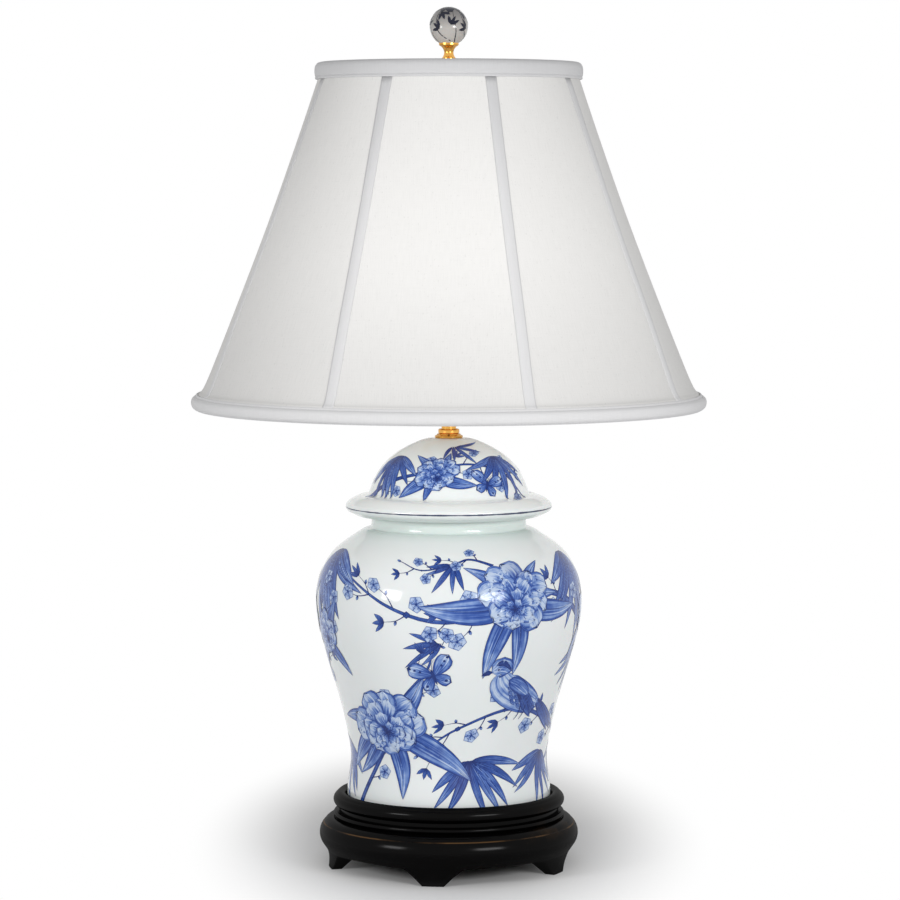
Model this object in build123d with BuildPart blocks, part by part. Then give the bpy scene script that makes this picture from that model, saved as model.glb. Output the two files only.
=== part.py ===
"""A table lamp made from a lidded porcelain jar, in millimetres.

Origin: centre of the feet's plane. +Z is up and -Y is the side that faces the room.
Turned pieces are drawn as a half section on the XZ plane, where x is the radius.
"""

from build123d import *
import math
import os

# ---------------------------------------------------------------- driving dimensions

FEET = 5
FRONT_FOOT_ANGLE = -7.4         # from the -Y direction, positive towards +X
FOOT_TOE_WIDTH = 18.5
FOOT_CALF_WIDTH = 45.0          # where the foot's straight flank ends
FOOT_CALF_Z = 12.2
FOOT_TOP_WIDTH = 58.0
FOOT_RADIUS = 103.0
FOOT_INNER_RADIUS = 94.5        # the feet thin towards the floor, on their inner side
APRON_EDGE_Z = 15.6             # lower edge of the apron, midway between two feet
APRON_FOOT_Z = 14.6             # where that edge turns down into a foot
CAVITY_RADIUS = 84.0            # the ring stays solid outside this, under the board
BOARD_BOTTOM_Z = 34.0
BOARD_TOP_Z = 52.0
RECESS_RADIUS = 88.0            # rabbet that the board is let into from above
BOARD_GAP = 0.05

JAR_FOOT_Z = BOARD_TOP_Z
JAR_NECK_RADIUS = 65.7
JAR_RIM_Z = 300.6
JAR_WALL = 5.7
LID_CROWN_Z = 365.6

PIPE_RADIUS = 4.9               # 1/8 running lamp pipe
PIPE_BORE_RADIUS = 3.3
PIPE_HOLE_RADIUS = 5.4          # drilled through wood and porcelain
PIPE_NUT_BORE = 5.0
PIPE_BOTTOM_Z = 22.0
PIPE_TOP_Z = 388.0

CAP_TOP_Z = 369.0
LOCKNUT_TOP_Z = 373.2
SADDLE_Z = 381.0
SADDLE_THICKNESS = 1.5
HARP_FOOT_X = 31.0
HARP_SHOULDER_Z = 392.0
HARP_JOINT_Z = 400.0            # where the harp's feet stand on the saddle's posts
HARP_BELLY_X = 60.0
HARP_TOP_Z = 666.0
HARP_WIRE_RADIUS = 1.8
FERRULE_LENGTH = 20.0
FERRULE_RADIUS = 4.0
FERRULE_BORE_RADIUS = 2.8

SOCKET_BOTTOM_Z = SADDLE_Z + SADDLE_THICKNESS
SOCKET_SHELL_RADIUS = 15.7
SOCKET_TOP_Z = 446.0
CORE_BOTTOM_Z = 399.0
CORE_TOP_Z = 418.0
SWITCH_Z = 408.0
SWITCH_SHAFT_RADIUS = 2.0

BULB_BASE_RADIUS = 13.0         # medium screw base
BULB_SEAT_Z = 422.0
BULB_NECK_Z = 446.0
BULB_RADIUS = 30.0
BULB_CENTRE_Z = 500.0
BULB_GLASS = 0.8

PANELS = 8
FIRST_SEAM_ANGLE = 18.0         # from the -Y direction, positive towards +X
SHADE_TOP_Z = 680.0
SHADE_BOTTOM_Z = 393.4
# Height and radius at the middle of a panel: upright at the top rim, a long slope that
# hollows a little, then the bell's flare.
SHADE_PROFILE = [
    (SHADE_TOP_Z, 108.9),
    (667.0, 110.7),
    (550.0, 151.2),
    (424.0, 200.4),
    (402.6, 212.0),
    (SHADE_BOTTOM_Z, 215.0),
]
SHADE_FLAT_SHARE = 0.020        # how much nearer the axis a panel's middle is than its seams
TRIM_TOP_Z = 667.0              # the panels flatten between these two heights
TRIM_BOTTOM_Z = 402.6
FABRIC = 0.8
LINER = 0.6
FRAME_WIRE_RADIUS = 1.5
WIRE_SIDES = 6                  # drawn hexagonal: it lies between the cover and the liner
FRAME_GAP = 0.1
FRAME_WIRE_REACH = 1.75         # half the wire's level width where the side slopes most
TOP_RING_Z = 677.0
BOTTOM_RING_Z = 395.1
TAPE_WIDTH = 9.5
TAPE_THICKNESS = 0.5
TAPE_LIFT = 0.03
TAPE_TOP_Z = 668.2
TAPE_BOTTOM_Z = 403.2
SPIDER_ARMS = 3
ARM_ANGLES = [180 + arm * 360 / SPIDER_ARMS for arm in range(SPIDER_ARMS)]
ARM_SLIT = 4.2
SPIDER_Z = 672.0
SPIDER_WASHER = 1.6
SPIDER_WASHER_RADIUS = 16.0

STUD_RADIUS = 3.1
STUD_TOP_Z = 684.0
FINIAL_BOTTOM_Z = SPIDER_Z + SPIDER_WASHER
BALL_RADIUS = 16.2
BALL_CENTRE_Z = 712.5

os.makedirs("parts", exist_ok=True)


def save(piece, name):
    """Label a finished piece and write its file."""
    piece.part.label = name
    export_step(piece.part, f"parts/{name}.step")


def radial_plane(angle, radius=0.0, z=0.0):
    """A plane facing outwards at an angle from -Y, with its own y axis pointing up."""
    turn = math.radians(angle)
    outward = Vector(math.sin(turn), -math.cos(turn), 0)
    sideways = Vector(math.cos(turn), math.sin(turn), 0)
    return Plane(origin=outward * radius + Vector(0, 0, z), x_dir=sideways, z_dir=outward)


def ring_piece(inner, outer, bottom, top, bevel=0.0):
    """A flat ring about the Z axis, with its outer rims bevelled where asked."""
    with BuildPart() as ring:
        with BuildSketch(Plane.XY.offset(bottom)):
            Circle(outer)
            Circle(inner, mode=Mode.SUBTRACT)
        extrude(amount=top - bottom)
        if bevel:
            rims = ring.edges().filter_by(GeomType.CIRCLE).sort_by(SortBy.RADIUS)[-2:]
            chamfer(rims, length=bevel)
    return ring


# ---------------------------------------------------------------- wooden stand

foot_pitch = 360 / FEET


def half_gap(foot_width, reach):
    """Half the gap between two feet, at a distance from the axis and a foot's width."""
    half_angle = math.pi / FEET - foot_width / 2 / FOOT_RADIUS
    return reach * math.tan(half_angle)


with BuildPart() as stand:
    with BuildSketch(Plane.XZ):
        with BuildLine():
            ThreePointArc((RECESS_RADIUS, 62.2), (92.4, 64.0), (96.0, 61.6))
            ThreePointArc((96.0, 61.6), (98.6, 57.2), (95.6, 52.0))
            Polyline((95.6, 52.0), (93.6, 51.0), (93.6, 47.4), (96.0, 47.4))
            ThreePointArc((96.0, 47.4), (98.5, 45.2), (97.0, 43.0))
            Line((97.0, 43.0), (97.6, 42.6))
            ThreePointArc((97.6, 42.6), (103.2, 41.2), (106.4, 37.8))
            Line((106.4, 37.8), (107.3, 37.2))
            ThreePointArc((107.3, 37.2), (110.4, 28.0), (107.6, 19.8))
            Line((107.6, 19.8), (104.0, 14.6))
            ThreePointArc((104.0, 14.6), (102.4, 7.6), (FOOT_RADIUS, 0))
            Polyline(
                (FOOT_RADIUS, 0),
                (FOOT_INNER_RADIUS, 0),
                (CAVITY_RADIUS, APRON_FOOT_Z),
                (CAVITY_RADIUS, BOARD_BOTTOM_Z),
                (RECESS_RADIUS, BOARD_BOTTOM_Z),
                (RECESS_RADIUS, 62.2),
            )
        make_face()
    revolve(axis=Axis.Z)
    for foot in range(FEET):
        gap_angle = FRONT_FOOT_ANGLE + (foot + 0.5) * foot_pitch
        for reach in (CAVITY_RADIUS - 30, FOOT_RADIUS + 20):
            toe = half_gap(FOOT_TOE_WIDTH, reach)
            calf = half_gap(FOOT_CALF_WIDTH, reach)
            top = half_gap(FOOT_TOP_WIDTH, reach)
            turn = calf - 0.45 * (calf - top)
            with BuildSketch(radial_plane(gap_angle, radius=reach)):
                with BuildLine():
                    Polyline(
                        (-calf, FOOT_CALF_Z), (-toe, 0), (-toe, -5),
                        (toe, -5), (toe, 0), (calf, FOOT_CALF_Z),
                    )
                    for side in (-1, 1):
                        ThreePointArc(
                            (side * calf, FOOT_CALF_Z),
                            (side * turn, APRON_FOOT_Z - 0.5),
                            (side * top, APRON_FOOT_Z),
                        )
                    ThreePointArc((-top, APRON_FOOT_Z), (0, APRON_EDGE_Z), (top, APRON_FOOT_Z))
                make_face()
        loft(ruled=True, mode=Mode.SUBTRACT)
save(stand, "stand")

stand_board = ring_piece(
    PIPE_HOLE_RADIUS, RECESS_RADIUS - BOARD_GAP, BOARD_BOTTOM_Z, BOARD_TOP_Z, bevel=0.5
)
save(stand_board, "stand_board")

# ---------------------------------------------------------------- porcelain

with BuildPart() as jar_body:
    with BuildSketch(Plane.XZ):
        with BuildLine():
            Spline(
                (86.4, JAR_FOOT_Z + 1.2),
                (86.8, 63.0),
                (83.5, 91.0),
                (86.3, 115.1),
                (94.7, 149.5),
                (107.2, 192.5),
                (112.4, 223.0),
                (108.3, 253.0),
                (96.6, 271.2),
                (80.4, 283.3),
                (68.4, 289.4),
                (JAR_NECK_RADIUS, 295.0),
                tangents=((0, 1), (0, 1)),
            )
            Line((JAR_NECK_RADIUS, 295.0), (JAR_NECK_RADIUS, JAR_RIM_Z - 1.8))
            RadiusArc(
                (JAR_NECK_RADIUS, JAR_RIM_Z - 1.8), (JAR_NECK_RADIUS - 1.8, JAR_RIM_Z), -1.8
            )
            Polyline(
                (JAR_NECK_RADIUS - 1.8, JAR_RIM_Z),
                (JAR_NECK_RADIUS - 4.4, JAR_RIM_Z),
                (JAR_NECK_RADIUS - JAR_WALL, JAR_RIM_Z - 1.3),
                (JAR_NECK_RADIUS - JAR_WALL, 287.0),
                (92.0, 266.4),
                (106.4, 232.0),
                (88.9, 149.5),
                (77.4, 94.0),
                (78.0, JAR_FOOT_Z + 15),
                (8.0, JAR_FOOT_Z + 14),
                (8.0, JAR_FOOT_Z + 7),
                (77.0, JAR_FOOT_Z + 6),
                (79.0, JAR_FOOT_Z),
                (85.2, JAR_FOOT_Z),
                (86.4, JAR_FOOT_Z + 1.2),
            )
        make_face()
    revolve(axis=Axis.Z)
save(jar_body, "jar_body")

with BuildPart() as jar_lid:
    with BuildSketch(Plane.XZ):
        with BuildLine():
            Line((PIPE_HOLE_RADIUS, LID_CROWN_Z), (13.0, LID_CROWN_Z))
            Spline(
                (13.0, LID_CROWN_Z),
                (28.4, 361.8),
                (46.7, 351.6),
                (59.2, 338.5),
                (65.0, 327.7),
                (67.3, 320.9),
                tangents=((1, 0), (0.28, -1)),
            )
            ThreePointArc((67.3, 320.9), (68.8, 318.5), (71.8, 317.4))
            ThreePointArc((71.8, 317.4), (80.6, 315.2), (86.6, 310.8))
            ThreePointArc((86.6, 310.8), (87.6, 307.2), (85.4, 303.8))
            Polyline(
                (85.4, 303.8),
                (79.0, JAR_RIM_Z),
                (58.8, JAR_RIM_Z),
                (58.2, 289.5),
                (54.4, 289.5),
                (54.4, 303.0),
                (60.4, 321.0),
                (50.0, 340.6),
                (28.0, 355.0),
                (PIPE_HOLE_RADIUS, 358.9),
                (PIPE_HOLE_RADIUS, LID_CROWN_Z),
            )
        make_face()
    revolve(axis=Axis.Z)
save(jar_lid, "jar_lid")

# ---------------------------------------------------------------- pipe and its fixings

lamp_pipe = ring_piece(PIPE_BORE_RADIUS, PIPE_RADIUS, PIPE_BOTTOM_Z, PIPE_TOP_Z)
save(lamp_pipe, "lamp_pipe")

with BuildPart() as cord_bushing:
    with BuildSketch(Plane.XZ):
        with BuildLine():
            Polyline(
                (2.4, PIPE_BOTTOM_Z - 2.4),
                (5.4, PIPE_BOTTOM_Z - 2.4),
                (6.4, PIPE_BOTTOM_Z - 1.4),
                (6.4, PIPE_BOTTOM_Z),
                (PIPE_BORE_RADIUS - 0.1, PIPE_BOTTOM_Z),
                (PIPE_BORE_RADIUS - 0.1, PIPE_BOTTOM_Z + 6),
                (2.4, PIPE_BOTTOM_Z + 6),
                close=True,
            )
        make_face()
    revolve(axis=Axis.Z)
save(cord_bushing, "cord_bushing")

washer_bottom = BOARD_BOTTOM_Z - 1.8
lock_bottom = washer_bottom - 1.4
nut_bottom = lock_bottom - 5.0

base_washer = ring_piece(PIPE_HOLE_RADIUS, 16.0, washer_bottom, BOARD_BOTTOM_Z)
save(base_washer, "base_washer")

with BuildPart() as base_lock_washer:
    with BuildSketch(Plane.XY.offset(lock_bottom)):
        Circle(8.4)
        Circle(PIPE_NUT_BORE, mode=Mode.SUBTRACT)
        with Locations((6.7, 0)):
            Rectangle(6, 1.4, rotation=20, mode=Mode.SUBTRACT)
    extrude(amount=washer_bottom - lock_bottom)
save(base_lock_washer, "base_lock_washer")

with BuildPart() as base_locknut:
    with BuildSketch(Plane.XY.offset(nut_bottom)):
        RegularPolygon(radius=9.2, side_count=6)
        Circle(PIPE_NUT_BORE, mode=Mode.SUBTRACT)
    extrude(amount=lock_bottom - nut_bottom)
    chamfer(base_locknut.edges().filter_by(GeomType.CIRCLE).group_by(Axis.Z)[0], length=0.4)
save(base_locknut, "base_locknut")

# ---------------------------------------------------------------- brass below the socket

with BuildPart() as vase_cap:
    with BuildSketch(Plane.XZ):
        with BuildLine():
            Polyline(
                (PIPE_NUT_BORE, LID_CROWN_Z),
                (11.4, LID_CROWN_Z),
                (12.0, LID_CROWN_Z + 0.8),
                (11.8, LID_CROWN_Z + 1.8),
                (10.2, LID_CROWN_Z + 2.6),
                (9.7, CAP_TOP_Z),
                (PIPE_NUT_BORE, CAP_TOP_Z),
                close=True,
            )
        make_face()
    revolve(axis=Axis.Z)
save(vase_cap, "vase_cap")

neck_locknut = ring_piece(PIPE_NUT_BORE, 9.0, CAP_TOP_Z, LOCKNUT_TOP_Z, bevel=0.9)
save(neck_locknut, "neck_locknut")

neck_tube = ring_piece(PIPE_NUT_BORE, 6.2, LOCKNUT_TOP_Z, SADDLE_Z)
save(neck_tube, "neck_tube")

# ---------------------------------------------------------------- harp

strip_width = 12.0
post_width = 4.4
post_thickness = 2.2
slope_foot_x = 12.0
slope_top_z = SADDLE_Z + 6.0

with BuildPart() as harp_saddle:
    with BuildSketch(Plane.XZ):
        with BuildLine():
            Polyline(
                (0, SADDLE_Z),
                (slope_foot_x, SADDLE_Z),
                (HARP_FOOT_X + 1.0, slope_top_z),
                (HARP_FOOT_X + 1.0, HARP_SHOULDER_Z),
                (HARP_FOOT_X - 1.0, HARP_SHOULDER_Z),
                (HARP_FOOT_X - 1.0, slope_top_z + 1.2),
                (slope_foot_x, SADDLE_Z + SADDLE_THICKNESS),
                (0, SADDLE_Z + SADDLE_THICKNESS),
                close=True,
            )
        make_face()
    extrude(amount=strip_width / 2, both=True)
    with BuildSketch(Plane.XY.offset(HARP_SHOULDER_Z)):
        with Locations((HARP_FOOT_X, 0)):
            Rectangle(post_thickness, post_width)
    extrude(amount=HARP_JOINT_Z - HARP_SHOULDER_Z)
    mirror(about=Plane.YZ)
    with Locations((0, 0, SADDLE_Z)):
        Cylinder(PIPE_NUT_BORE, 20, mode=Mode.SUBTRACT)
save(harp_saddle, "harp_saddle")

with BuildPart() as harp_wire:
    with BuildLine(Plane.XZ) as harp_path:
        FilletPolyline(
            (-HARP_FOOT_X, HARP_JOINT_Z),
            (-HARP_FOOT_X, 436.0),
            (-HARP_BELLY_X, 486.0),
            (-HARP_BELLY_X, 596.0),
            (-28.0, HARP_TOP_Z),
            (28.0, HARP_TOP_Z),
            (HARP_BELLY_X, 596.0),
            (HARP_BELLY_X, 486.0),
            (HARP_FOOT_X, 436.0),
            (HARP_FOOT_X, HARP_JOINT_Z),
            radius=[38, 60, 90, 16, 16, 90, 60, 38],
        )
    with BuildSketch(Plane(origin=harp_path.line @ 0, z_dir=harp_path.line % 0)):
        Circle(HARP_WIRE_RADIUS)
    sweep()
save(harp_wire, "harp_wire")

with BuildPart() as harp_swivel:
    with BuildSketch(Plane.XZ):
        with BuildLine():
            Polyline(
                (0, HARP_TOP_Z - 4.0),
                (5.2, HARP_TOP_Z - 4.0),
                (6.4, HARP_TOP_Z - 2.8),
                (6.4, HARP_TOP_Z + 3.4),
                (8.0, HARP_TOP_Z + 4.6),
                (8.0, SPIDER_Z),
                (STUD_RADIUS, SPIDER_Z),
                (STUD_RADIUS, STUD_TOP_Z - 0.6),
                (STUD_RADIUS - 0.6, STUD_TOP_Z),
                (0, STUD_TOP_Z),
                close=True,
            )
        make_face()
    revolve(axis=Axis.Z)
    with Locations(Location((0, 0, HARP_TOP_Z), (0, 90, 0))):
        Cylinder(HARP_WIRE_RADIUS + 0.05, 30, mode=Mode.SUBTRACT)
save(harp_swivel, "harp_swivel")

for side, name in ((-1, "ferrule_left"), (1, "ferrule_right")):
    with BuildPart() as ferrule:
        with BuildSketch(Plane.XY.offset(HARP_SHOULDER_Z)):
            with Locations((side * HARP_FOOT_X, 0)):
                Circle(FERRULE_RADIUS)
                Circle(FERRULE_BORE_RADIUS, mode=Mode.SUBTRACT)
        extrude(amount=FERRULE_LENGTH)
        rims = ferrule.edges().filter_by(GeomType.CIRCLE).sort_by(SortBy.RADIUS)[-2:]
        chamfer(rims, length=0.6)
    save(ferrule, name)

# ---------------------------------------------------------------- socket

cap_rim_z = 402.0

with BuildPart() as socket_cap:
    with BuildSketch(Plane.XZ):
        with BuildLine():
            Polyline(
                (16.6, cap_rim_z),
                (15.8, cap_rim_z),
                (15.8, 398.0),
                (12.0, 391.0),
                (6.2, 387.8),
                (PIPE_NUT_BORE, 387.8),
                (PIPE_NUT_BORE, SOCKET_BOTTOM_Z),
                (7.0, SOCKET_BOTTOM_Z),
                (7.0, 386.4),
                (12.6, 389.4),
                (15.4, 393.2),
                (16.6, 398.0),
                close=True,
            )
        make_face()
    revolve(axis=Axis.Z)
save(socket_cap, "socket_cap")

switch_side = radial_plane(0, z=SWITCH_Z)

with BuildPart() as socket_shell:
    with BuildSketch(Plane.XZ):
        with BuildLine():
            Polyline(
                (SOCKET_SHELL_RADIUS - 0.6, CORE_BOTTOM_Z - 0.6),
                (SOCKET_SHELL_RADIUS, CORE_BOTTOM_Z - 0.6),
                (SOCKET_SHELL_RADIUS, SOCKET_TOP_Z - 3.0),
                (SOCKET_SHELL_RADIUS + 0.9, SOCKET_TOP_Z - 2.0),
                (SOCKET_SHELL_RADIUS + 0.9, SOCKET_TOP_Z - 0.8),
                (SOCKET_SHELL_RADIUS, SOCKET_TOP_Z),
                (SOCKET_SHELL_RADIUS - 0.6, SOCKET_TOP_Z),
                (SOCKET_SHELL_RADIUS - 0.6, CORE_BOTTOM_Z - 0.6),
            )
        make_face()
    revolve(axis=Axis.Z)
    with BuildSketch(switch_side):
        Circle(4.0)
    extrude(amount=SOCKET_SHELL_RADIUS + 4, mode=Mode.SUBTRACT)
save(socket_shell, "socket_shell")

with BuildPart() as socket_liner:
    with BuildSketch(Plane.XY.offset(CORE_BOTTOM_Z)):
        Circle(SOCKET_SHELL_RADIUS - 0.7)
        Circle(SOCKET_SHELL_RADIUS - 1.4, mode=Mode.SUBTRACT)
    extrude(amount=SOCKET_TOP_Z + 1.5 - CORE_BOTTOM_Z)
    with BuildSketch(switch_side):
        Circle(3.6)
    extrude(amount=SOCKET_SHELL_RADIUS + 4, mode=Mode.SUBTRACT)
save(socket_liner, "socket_liner")

core_radius = 14.0
terminal_flat_x = 11.6

with BuildPart() as socket_core:
    with BuildSketch(Plane.XY.offset(CORE_BOTTOM_Z)):
        Circle(core_radius)
    extrude(amount=CORE_TOP_Z - CORE_BOTTOM_Z)
    chamfer(socket_core.edges().group_by(Axis.Z)[0], length=1.2)
    with BuildSketch(Plane.XY.offset(CORE_BOTTOM_Z)):
        with Locations((terminal_flat_x + 5, 0), (-terminal_flat_x - 5, 0)):
            Rectangle(10, 12)
    extrude(amount=14, mode=Mode.SUBTRACT)
    with BuildSketch(switch_side):
        Circle(SWITCH_SHAFT_RADIUS + 0.05)
    extrude(amount=core_radius + 4, mode=Mode.SUBTRACT)
save(socket_core, "socket_core")

with BuildPart() as terminal_screws:
    for side in (-1, 1):
        with BuildSketch(radial_plane(side * 90, radius=terminal_flat_x, z=406.0)):
            Circle(2.4)
        extrude(amount=1.8)
save(terminal_screws, "terminal_screws")

screw_shell_radius = 13.9

with BuildPart() as screw_shell:
    with BuildSketch(Plane.XZ):
        with BuildLine():
            Polyline(
                (8.0, CORE_TOP_Z),
                (screw_shell_radius, CORE_TOP_Z),
                (screw_shell_radius, SOCKET_TOP_Z - 2),
                (screw_shell_radius - 0.5, SOCKET_TOP_Z - 2),
                (screw_shell_radius - 0.5, CORE_TOP_Z + 0.5),
                (8.0, CORE_TOP_Z + 0.5),
                close=True,
            )
        make_face()
    revolve(axis=Axis.Z)
save(screw_shell, "screw_shell")

with BuildPart() as centre_contact:
    with BuildSketch(Plane.XZ):
        with BuildLine():
            ThreePointArc((-5.5, CORE_TOP_Z), (0, BULB_SEAT_Z - 0.1), (5.5, CORE_TOP_Z))
            ThreePointArc((-4.8, CORE_TOP_Z), (0, BULB_SEAT_Z - 0.7), (4.8, CORE_TOP_Z))
            Line((-5.5, CORE_TOP_Z), (-4.8, CORE_TOP_Z))
            Line((4.8, CORE_TOP_Z), (5.5, CORE_TOP_Z))
        make_face()
    extrude(amount=2.5, both=True)
save(centre_contact, "centre_contact")

knob_near = 24.0
knob_length = 13.0
knob_radius = 6.2

with BuildPart() as switch_shaft:
    with BuildSketch(radial_plane(0, radius=4.0, z=SWITCH_Z)):
        Circle(SWITCH_SHAFT_RADIUS)
    extrude(amount=knob_near + 6 - 4.0)
save(switch_shaft, "switch_shaft")

with BuildPart() as switch_knob:
    with BuildSketch(radial_plane(0, radius=knob_near, z=SWITCH_Z)):
        Circle(knob_radius)
        with PolarLocations(knob_radius + 0.4, 10):
            Circle(1.0, mode=Mode.SUBTRACT)
    extrude(amount=knob_length)
    with BuildSketch(radial_plane(0, radius=knob_near, z=SWITCH_Z)):
        Circle(SWITCH_SHAFT_RADIUS + 0.02)
    extrude(amount=6.1, mode=Mode.SUBTRACT)
save(switch_knob, "switch_knob")

# ---------------------------------------------------------------- bulb

shoulder = BULB_RADIUS * 0.785
shoulder_z = BULB_CENTRE_Z - math.sqrt(BULB_RADIUS**2 - shoulder**2)


def bulb_outline(inset):
    """Half outline of the envelope, moved inwards by a wall's thickness."""
    radius = BULB_RADIUS - inset
    scale = radius / BULB_RADIUS
    rim = (shoulder * scale, BULB_CENTRE_Z + (shoulder_z - BULB_CENTRE_Z) * scale)
    neck = (BULB_BASE_RADIUS - inset, BULB_NECK_Z)
    climb = (BULB_CENTRE_Z - shoulder_z, shoulder)
    return neck, rim, climb, radius


with BuildPart() as bulb_glass:
    with BuildSketch(Plane.XZ):
        with BuildLine():
            for inset in (0.0, BULB_GLASS):
                neck, rim, climb, radius = bulb_outline(inset)
                Spline(neck, rim, tangents=((0.1, 1), climb))
                crown = (0, BULB_CENTRE_Z + radius)
                flank = (radius, BULB_CENTRE_Z)
                ThreePointArc(rim, flank, crown)
            Line((BULB_BASE_RADIUS, BULB_NECK_Z), (BULB_BASE_RADIUS - BULB_GLASS, BULB_NECK_Z))
            Line(
                (0, BULB_CENTRE_Z + BULB_RADIUS - BULB_GLASS), (0, BULB_CENTRE_Z + BULB_RADIUS)
            )
        make_face()
    revolve(axis=Axis.Z)
save(bulb_glass, "bulb_glass")

base_bottom = BULB_SEAT_Z + 3.4

bulb_base = ring_piece(BULB_BASE_RADIUS - 0.5, BULB_BASE_RADIUS, base_bottom, BULB_NECK_Z)
save(bulb_base, "bulb_base")

with BuildPart() as bulb_insulator:
    with BuildSketch(Plane.XY.offset(base_bottom)):
        Circle(BULB_BASE_RADIUS - 0.6)
    extrude(amount=2.0)
    with BuildSketch(Plane.XY.offset(base_bottom)):
        Circle(11.0)
    extrude(amount=-2.0, taper=60)
save(bulb_insulator, "bulb_insulator")

with BuildPart() as bulb_contact:
    with BuildSketch(Plane.XY.offset(BULB_SEAT_Z)):
        Circle(4.6)
    extrude(amount=base_bottom - 2.0 - BULB_SEAT_Z)
    chamfer(bulb_contact.edges().group_by(Axis.Z)[0], length=0.6)
save(bulb_contact, "bulb_contact")

with BuildPart() as bulb_stem:
    with BuildSketch(Plane.XY.offset(base_bottom + 2.0)):
        Circle(8.0)
    with BuildSketch(Plane.XY.offset(BULB_CENTRE_Z - 20)):
        Circle(2.5)
    loft()
save(bulb_stem, "bulb_stem")

with BuildPart() as bulb_filament:
    with BuildLine(Plane.XZ) as filament_path:
        Polyline(
            (-2.2, BULB_CENTRE_Z - 19.8),
            (-10.0, BULB_CENTRE_Z + 2),
            (10.0, BULB_CENTRE_Z + 2),
            (2.2, BULB_CENTRE_Z - 19.8),
        )
    with BuildSketch(Plane(origin=filament_path.line @ 0, z_dir=filament_path.line % 0)):
        Circle(0.4)
    sweep(transition=Transition.RIGHT)
save(bulb_filament, "bulb_filament")

# ---------------------------------------------------------------- shade

seam_pitch = 360 / PANELS
seam_angles = [FIRST_SEAM_ANGLE + step * seam_pitch for step in range(PANELS)]


def flat_share(z):
    """How far the panels flatten at a height: nothing under the trims, most half way."""
    if not TRIM_BOTTOM_Z < z < TRIM_TOP_Z:
        return 0.0
    along = (z - TRIM_BOTTOM_Z) / (TRIM_TOP_Z - TRIM_BOTTOM_Z)
    return SHADE_FLAT_SHARE * min(1.0, 4 * along * (1 - along) + 0.2)


def seam_radius(level):
    """Radius of the cover's outside at a seam, at one level of the profile."""
    z, radius = level
    return radius / (1 - flat_share(z))


def shade_skin(outset, thickness, levels):
    """A closed skin of eight bowed panels, lofted through the levels of the profile."""
    with BuildPart() as skin:
        for wall, mode in ((outset, Mode.ADD), (outset - thickness, Mode.SUBTRACT)):
            for z, radius in levels:
                middle = radius + wall
                corner = seam_radius((z, radius)) + wall
                with BuildSketch(Plane.XY.offset(z)):
                    with BuildLine():
                        for angle in seam_angles:
                            ends = [
                                radial_plane(turn, reach).origin
                                for turn, reach in (
                                    (angle, corner),
                                    (angle + seam_pitch / 2, middle),
                                    (angle + seam_pitch, corner),
                                )
                            ]
                            ThreePointArc(*[(end.X, end.Y) for end in ends])
                    make_face()
            loft(ruled=True, mode=mode)
    return skin


shade_cover = shade_skin(0.0, FABRIC, SHADE_PROFILE)
save(shade_cover, "shade_cover")

frame_inset = FABRIC + FRAME_GAP + FRAME_WIRE_REACH
liner_inset = FABRIC + FRAME_GAP * 2 + FRAME_WIRE_REACH * 2 + 0.2
liner_levels = [(SHADE_TOP_Z - 1, SHADE_PROFILE[0][1]), *SHADE_PROFILE[1:]]


def arm_slits():
    """Slits where the spider's arms pass through the fabric at the top rim."""
    with BuildPart() as slits:
        for angle in ARM_ANGLES:
            with BuildSketch(radial_plane(angle, radius=98, z=676.4)):
                Rectangle(ARM_SLIT, 5.8)
        extrude(amount=7.9)
    return slits.part


with BuildPart() as shade_liner:
    add(shade_skin(-liner_inset, LINER, liner_levels).part)
    add(arm_slits(), mode=Mode.SUBTRACT)
save(shade_liner, "shade_liner")


def profile_radius(z):
    """The profile's radius at any height, between its levels on straight runs."""
    for upper, lower in zip(SHADE_PROFILE, SHADE_PROFILE[1:]):
        if lower[0] <= z <= upper[0]:
            share = (upper[0] - z) / (upper[0] - lower[0])
            return upper[1] + share * (lower[1] - upper[1])
    raise ValueError(z)


for ring_z, name in ((TOP_RING_Z, "shade_top_ring"), (BOTTOM_RING_Z, "shade_bottom_ring")):
    with BuildPart() as shade_ring:
        with BuildSketch(Plane.XZ):
            with Locations((profile_radius(ring_z) - frame_inset, ring_z)):
                RegularPolygon(FRAME_WIRE_RADIUS, WIRE_SIDES, rotation=30)
        revolve(axis=Axis.Z)
    save(shade_ring, name)

rib_top = TOP_RING_Z - FRAME_WIRE_RADIUS - 0.03
rib_bottom = BOTTOM_RING_Z + FRAME_WIRE_RADIUS + 0.03
rib_levels = [(rib_top, profile_radius(rib_top))]
rib_levels += [level for level in SHADE_PROFILE if rib_bottom < level[0] < rib_top]
rib_levels += [(rib_bottom, profile_radius(rib_bottom))]

with BuildPart() as shade_ribs:
    for angle in seam_angles:
        outward = radial_plane(angle).z_dir
        for level in rib_levels:
            centre = outward * (seam_radius(level) - frame_inset)
            with BuildSketch(Plane.XY.offset(level[0])):
                with Locations((centre.X, centre.Y)):
                    RegularPolygon(FRAME_WIRE_RADIUS, WIRE_SIDES, rotation=angle)
        loft(ruled=True)
save(shade_ribs, "shade_ribs")

with BuildPart() as shade_rib_tapes:
    add(shade_skin(TAPE_THICKNESS + TAPE_LIFT, TAPE_THICKNESS, SHADE_PROFILE).part)
    with BuildSketch(Plane.XY.offset(TAPE_BOTTOM_Z)):
        for angle in seam_angles:
            with Locations(Location((0, 0, 0), (0, 0, angle))):
                with Locations((0, -160)):
                    Rectangle(TAPE_WIDTH, 160)
    extrude(amount=TAPE_TOP_Z - TAPE_BOTTOM_Z, mode=Mode.INTERSECT)
save(shade_rib_tapes, "shade_rib_tapes")

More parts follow.
